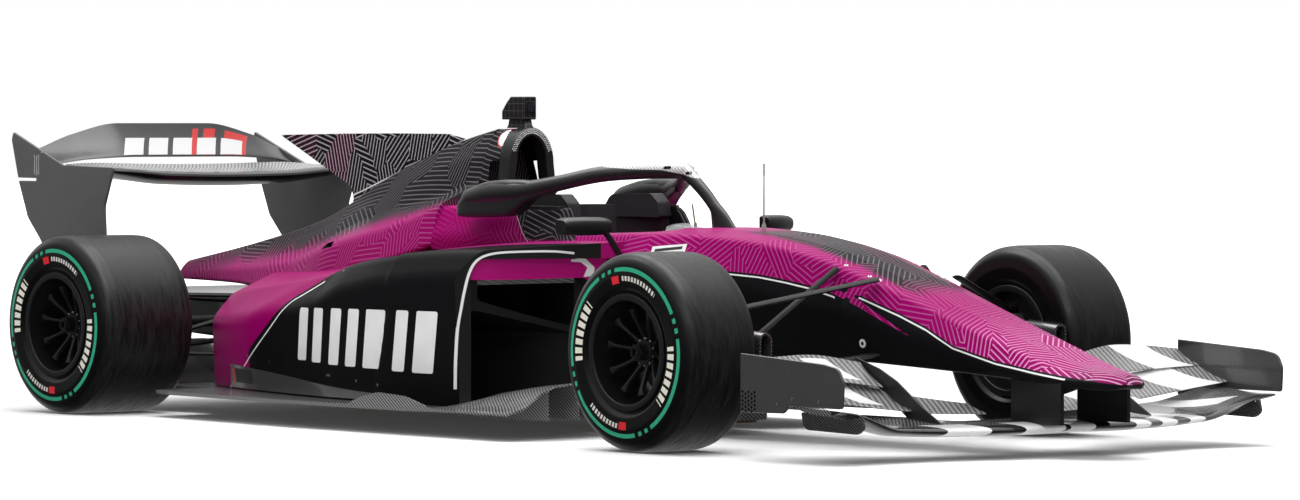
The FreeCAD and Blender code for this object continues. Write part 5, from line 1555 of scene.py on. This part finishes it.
def make_mirrors():
    """Mirror housings with a rounded front, on a broad stalk that curves down to the tub."""
    ys = np.linspace(MIRROR_ROWS[0][0], MIRROR_ROWS[-1][0], 24)
    rows = []
    for y, (x, d) in zip(ys, eased_rows(MIRROR_ROWS, ys)):
        top, low = MIRROR_TOP - d, MIRROR_LOW + d
        loop = ring([(x, top - 3, 24), (x - 52, top, 5), (x - 52, low, 5), (x, low + 3, 26)], 6, 4)
        rows.append([(a, -y * MM, b) for a, b in side_on(loop)])
    housing = loft_object("housing", rows, black_gloss(), 50)
    path = curve_through([(fx(-834), -0.268, 0.566, 0.018), (fx(-832), -0.296, 0.598, 0.0175),
                          (fx(-828), -0.330, 0.640, 0.017), (fx(-824), -0.356, 0.664, 0.018)], 14)
    loops = [[(x + r * math.cos(a), y + 0.0048 * math.sin(a), z + 0.0036 * math.sin(a)) for a in around(20)]
             for x, y, z, r in path]
    right = join("mirror_right", [housing, loft_object("stalk", loops, black_gloss(), 50)])
    return join("mirror_pair", [right, twin(right, "mirror_left")])


# Columns: x ahead of the front axle, half width, top and bottom z of the camera's housing.
CAMERA_ROWS = [(-1655.5, 26, 1102, 1028), (-1659, 28.4, 1104, 1026), (-1728, 28.4, 1104, 1026),
               (-1752, 28, 1083, 1026), (-1774, 27, 1058, 1026), (-1777, 24, 1052, 1029)]
LENS_Z = 1066


def make_camera():
    """Camera housing on the roll hoop: a box with a sloped back and a round lens in a square bezel."""
    body = [section(x, rectangle(-wide, wide, low, top, (5, 6), 4, 3)) for x, wide, top, low in CAMERA_ROWS]
    foot = [[(fx(a), b * MM, z * MM) for a, b in rectangle(x0, x1, -w, w, (8, 8), 4, 2)]
            for z, x0, x1, w in ((997, -1762, -1654, 20), (1006, -1758, -1660, 17), (1027, -1752, -1666, 17))]
    bezel = [section(x, rectangle(-s, s, LENS_Z - s, LENS_Z + s, (3, 3), 3, 2))
             for x, s in ((-1658, 22), (-1653.6, 22), (-1652.8, 21))]
    parts = [loft_object("housing", body, dark_pattern(), 30), loft_object("foot", foot, dark_pattern(), 30),
             loft_object("bezel", bezel, black_gloss())]
    glass = plain("lens_glass", (0.01, 0.01, 0.02), 0.05)
    for name, front, radius, finish, inner in (("lens", -1651, 0.011, glass, 0.0),
                                               ("lens_ring", -1651.6, 0.014, black_satin(), 0.011)):
        ends = [(fx(x), 0, LENS_Z * MM) for x in (-1656, front)]
        parts.append(drum(name, *ends, radius, finish, 32, inner))
    return join("camera_set", parts)


@surface("dark_pattern")
def dark_pattern(t):
    """Dark wrap with pale crossed lines."""
    x, y, z = (t.step(t.math("ABSOLUTE", t.math("FRACT", line / 0.024) - 0.5), 0.43, 0.47)
               for line in t.split(t.place()))
    marks = t.math("MAXIMUM", t.math("MAXIMUM", x, y), z)
    t.shader(t.mix(marks, (0.010, 0.009, 0.010, 1), (0.055, 0.05, 0.055, 1)), 0.4, Specular_IOR_Level=0.3)


# Columns: x ahead of the front axle, half width and top z of the small wind screen.
SCREEN_ROWS = [(-893, 46, 666), (-870, 60, 680), (-850, 58, 686), (-810, 50, 682), (-770, 30, 674), (-748, 16, 670)]


def make_fittings():
    settle(make_mirrors(), "chassis", "mirrors")
    dress("mirrors")
    settle(make_camera(), "chassis", "onboard_camera")
    grey = plain("antenna_grey", (0.22, 0.22, 0.21), 0.4)
    aerial = turned_up("aerial", [(0.010, 640), (0.010, 652), (0.0075, 656), (0.0075, 686), (0.004, 692),
                                  (0.003, 700), (0.0022, 880), (0.003, 882), (0.003, 884)], fx(-444), 0.0, grey)
    settle(aerial, "chassis", "antenna")
    dress("lamp")
    clear = flat_colour("clear_screen", (0.75, 0.78, 0.78, 1), 0.12, Alpha=0.32)
    screen = [section(x, [(-wide, 654), (-wide * 0.9, top - 4), (-wide * 0.5, top), (0, top + 1.5),
                          (wide * 0.5, top), (wide * 0.9, top - 4), (wide, 654), (wide * 0.86, top - 8),
                          (wide * 0.5, top - 3), (0, top - 1.5), (-wide * 0.5, top - 3), (-wide * 0.86, top - 8)])
              for x, wide, top in SCREEN_ROWS]
    settle(loft_object("wind_screen", screen, clear, 60), "chassis")
    pitot = tube("pitot", [(fx(-786), 0.0, 0.664), (fx(-790), 0.0, 0.69), (fx(-803), 0.0, 0.75)], 0.0028,
                 plain("brass", (0.35, 0.27, 0.12), 0.35, metallic=0.8), 10)
    base = turned_up("pitot_base", [(0.014, 664), (0.014, 668), (0.006, 672), (0.0045, 690)], fx(-787), 0.0, grey)
    settle(join("speed_sensor", [pitot, base]), "chassis")


# ------------------------------------------------------------------ nodes shown as they are, with soft edges
# Columns: CAD node, its finish, how far its edges are rounded in metres, and its body where that isn't the chassis.
DRESSED = {
    "front_wing": [("front_wing_pylons", black_gloss, 0.002), ("front_wing_brackets", black_satin, 0.002),
                   ("front_wing_strakes", carbon, 0.002)],
    "rear_wing": [("rear_beam_wing", carbon, 0.001)],
    "cockpit": [
        ("headrest_collar", partial(plain, "collar_fabric", (0.012, 0.010, 0.013), 0.65, scale=200.0, bump=0.3),
         0.012),
        ("seat", partial(plain, "seat_black", (0.01, 0.01, 0.011), 0.5), 0.006),
        ("steering_column", steel, 0.001),
        ("steering_wheel", partial(plain, "wheel_grip", (0.012, 0.012, 0.013), 0.55, scale=90, bump=0.2), 0.003,
         "steering_wheel")],
    "mirrors": [("mirror_glasses",
                 partial(plain, "mirror_silver", (0.8, 0.8, 0.8), 0.05, metallic=1.0, vary=0.02), 0)],
    "lamp": [("rain_light", partial(flat_colour, "rain_lamp", (0.25, 0.01, 0.01, 1), 0.2), 0.002)],
    "running_gear": [
        ("front_wishbones", arm_black, 0.001), ("rear_suspension", arm_black, 0.001),
        ("rear_uprights", cast_grey, 0.002), ("gearbox", cast_grey, 0.005), ("engine", cast_grey, 0.005),
        ("rear_crash_structure", black_satin, 0.004)] + [
        (f"{part}_{hand}", finish, soft, f"front_knuckle_{hand}") for hand in ("right", "left")
        for part, finish, soft in (("front_upright", cast_grey, 0.002), ("front_brake_duct", carbon, 0.001))],
    "floor": [
        # The floor's carbon is pale: a painted reflection of the bright room on its top.
        ("floor", partial(carbon, "floor_carbon", light=0.34, dark=0.05, tow=0.0042, gloss=0.3), 0.002),
        ("skid_plank", partial(plain, "plank_wood", (0.16, 0.10, 0.05), 0.6, scale=30), 0.001),
        ("diffuser", partial(carbon, "diffuser_carbon", light=0.08), 0.001)],
}


# ------------------------------------------------------------------ stage
# The camera stands this far round the car and above it, with a slight roll, in degrees.
CAMERA_ROUND, CAMERA_ABOVE, CAMERA_ROLL = (math.radians(a) for a in (50.18, 1.30, 0.07))
CAMERA_PLACE = (15.8502, -12.9404, 1.0541)


def make_floor_plane(colour):
    """Pale floor that glows towards its far edge, where the camera sees it against the backdrop."""
    floor = mesh_object("stage_floor", [(-60, -60, 0), (60, -60, 0), (60, 60, 0), (-60, 60, 0)], [(0, 1, 2, 3)],
                        stage_floor("stage_floor", colour))
    floor.visible_glossy = False


@surface()
def stage_floor(t, colour):
    far = t.one("Value", "ShaderNodeVectorMath", {0: t.place()}, operation="LENGTH")
    # A faint glow all over, seen only by the camera, lifts the shadow under the car: painted light.
    glow = t.math("MAXIMUM", t.step(far, 3.6, 7.5), 0.03) * t.one("Is Camera Ray", "ShaderNodeLightPath")
    t.shader(colour, 0.7, Specular_IOR_Level=0.2, Emission_Color=(1, 1, 1, 1), Emission_Strength=glow)


def make_room(scene):
    """A pale backdrop behind the car; the room on the camera's side is dark."""
    world = scene.world = bpy.data.worlds.new("soft_room")
    world.use_nodes = True
    world.node_tree.nodes.clear()
    t = Tree(world.node_tree)
    way = t.one("Generated", "ShaderNodeTexCoord")
    _, _, up = t.split(way)
    room = t.mix(t.step(up, 0.0, 0.9), (0.16, 0.16, 0.16, 1), (0.9, 0.9, 0.9, 1))
    away = (-math.sin(CAMERA_ROUND), math.cos(CAMERA_ROUND), 0)
    behind = t.step(t.one("Value", "ShaderNodeVectorMath", {0: way, 1: away}, operation="DOT_PRODUCT"), 0.35, 0.85)
    room = t.mix(behind * 0.85, room, (0.95, 0.95, 0.95, 1))
    below = t.mix(behind, (0.05, 0.05, 0.05, 1), (0.6, 0.6, 0.6, 1))
    room = t.mix(t.step(up, -0.06, 0.0), below, room)
    seen = t.mix(t.one("Is Camera Ray", "ShaderNodeLightPath"), room, (1, 1, 1, 1))
    t.node("ShaderNodeOutputWorld", {"Surface": t.one(0, "ShaderNodeBackground", {"Color": seen, "Strength": 1.0})})


def softbox(name, place, aim, size, power):
    """Rectangular area light that faces a point."""
    data = bpy.data.lights.new(name, "AREA")
    data.shape, (data.size, data.size_y), data.energy = "RECTANGLE", size, power
    lamp = placed(name, data)
    lamp.location = place
    lamp.rotation_euler = (Vector(aim) - Vector(place)).to_track_quat("-Z", "Y").to_euler()


def make_stage():
    scene = bpy.context.scene
    look = scene.rc_stage
    make_floor_plane(look.floor)
    scene.view_settings.view_transform = "Standard"
    make_room(scene)
    softbox("overhead", (0.0, 0.0, 5.5), (0, 0, 0), (8, 5), look.key)
    softbox("front", (7.0, -6.0, 6.0), (0, 0, 0.4), (4, 2), look.key * 0.25)
    ahead, aside = math.cos(CAMERA_ROUND), math.sin(CAMERA_ROUND)
    back = Vector((aside * math.cos(CAMERA_ABOVE), -ahead * math.cos(CAMERA_ABOVE), math.sin(CAMERA_ABOVE)))
    right = Vector((ahead, aside, 0))
    up = back.cross(right)
    cos, sin = math.cos(CAMERA_ROLL), math.sin(CAMERA_ROLL)
    camera = placed("camera", bpy.data.cameras.new("camera"))
    camera.data.lens, camera.data.sensor_width, camera.data.clip_end = look.lens, 36, 200
    place = Matrix((right * cos + up * sin, up * cos - right * sin, back)).transposed().to_4x4()
    place.translation = CAMERA_PLACE
    camera.matrix_world = place
    scene.camera = camera


# ------------------------------------------------------------------ the add-on's buttons
STEPS = [
    ("nose", "Nose", "Build the nose shell", make_nose),
    ("tub", "Tub", "Build the tub with its cockpit opening", make_tub),
    ("cover", "Engine cover", "Build the engine cover", make_cover),
    ("fin", "Fin", "Build the fin over the engine cover", make_fin),
    ("pods", "Sidepods", "Build both sidepods", make_pods),
    ("front_wing", "Front wing", "Build the front wing", make_front_wing),
    ("rear_wing", "Rear wing", "Build the rear wing", make_rear_wing),
    ("wheels", "Wheels", "Build tyres and wheels", make_wheels),
    ("halo", "Halo", "Build the halo", make_halo),
    ("hoop", "Roll hoop", "Build the roll hoop and its trim", make_hoop),
    ("cockpit", "Cockpit", "Dress the cockpit", partial(dress, "cockpit")),
    ("fittings", "Fittings", "Dress mirrors, camera, antenna and light", make_fittings),
    ("running_gear", "Running gear", "Dress the suspension and drive train", partial(dress, "running_gear")),
    ("floor", "Floor", "Dress the floor, plank and diffuser", partial(dress, "floor")),
    ("stage", "Stage", "Set the floor, lights and camera", make_stage),
]


def button(name, label, words, work):
    """Operator class that runs one building step."""

    def execute(self, context):
        work()
        return {"FINISHED"}

    return type(f"RC_OT_{name}", (bpy.types.Operator,), {
        "__doc__": words, "bl_idname": f"rc.{name}", "bl_label": label, "bl_options": {"REGISTER", "UNDO"},
        "execute": execute,
    })


BUTTONS = [button(*step) for step in STEPS]


class RC_PT_panel(bpy.types.Panel):
    """Buttons and settings of the racing car."""

    bl_label = "Racing car"
    bl_idname = "RC_PT_panel"
    bl_space_type = "VIEW_3D"
    bl_region_type = "UI"
    bl_category = "Racing car"

    def draw(self, context):
        layout = self.layout
        for name, _, _, _ in STEPS:
            layout.operator(f"rc.{name}")
        for group in ("rc_paint", "rc_tyre", "rc_trim", "rc_stage"):
            settings = getattr(context.scene, group)
            box = layout.box()
            for key in settings.bl_rna.properties.keys():
                if key not in ("rna_type", "name"):
                    box.prop(settings, key)


SETTINGS = [("rc_paint", RC_PaintSettings), ("rc_tyre", RC_TyreSettings), ("rc_trim", RC_TrimSettings),
            ("rc_stage", RC_StageSettings)]


def register():
    for name, kind in SETTINGS:
        bpy.utils.register_class(kind)
        setattr(bpy.types.Scene, name, PointerProperty(type=kind))
    for kind in BUTTONS + [RC_PT_panel]:
        bpy.utils.register_class(kind)


def unregister():
    for kind in reversed(BUTTONS + [RC_PT_panel]):
        bpy.utils.unregister_class(kind)
    for name, kind in reversed(SETTINGS):
        delattr(bpy.types.Scene, name)
        bpy.utils.unregister_class(kind)


def main():
    register()
    for name, _, _, _ in STEPS:
        getattr(bpy.ops.rc, name)()
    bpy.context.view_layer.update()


if __name__ == "__main__":
    main()
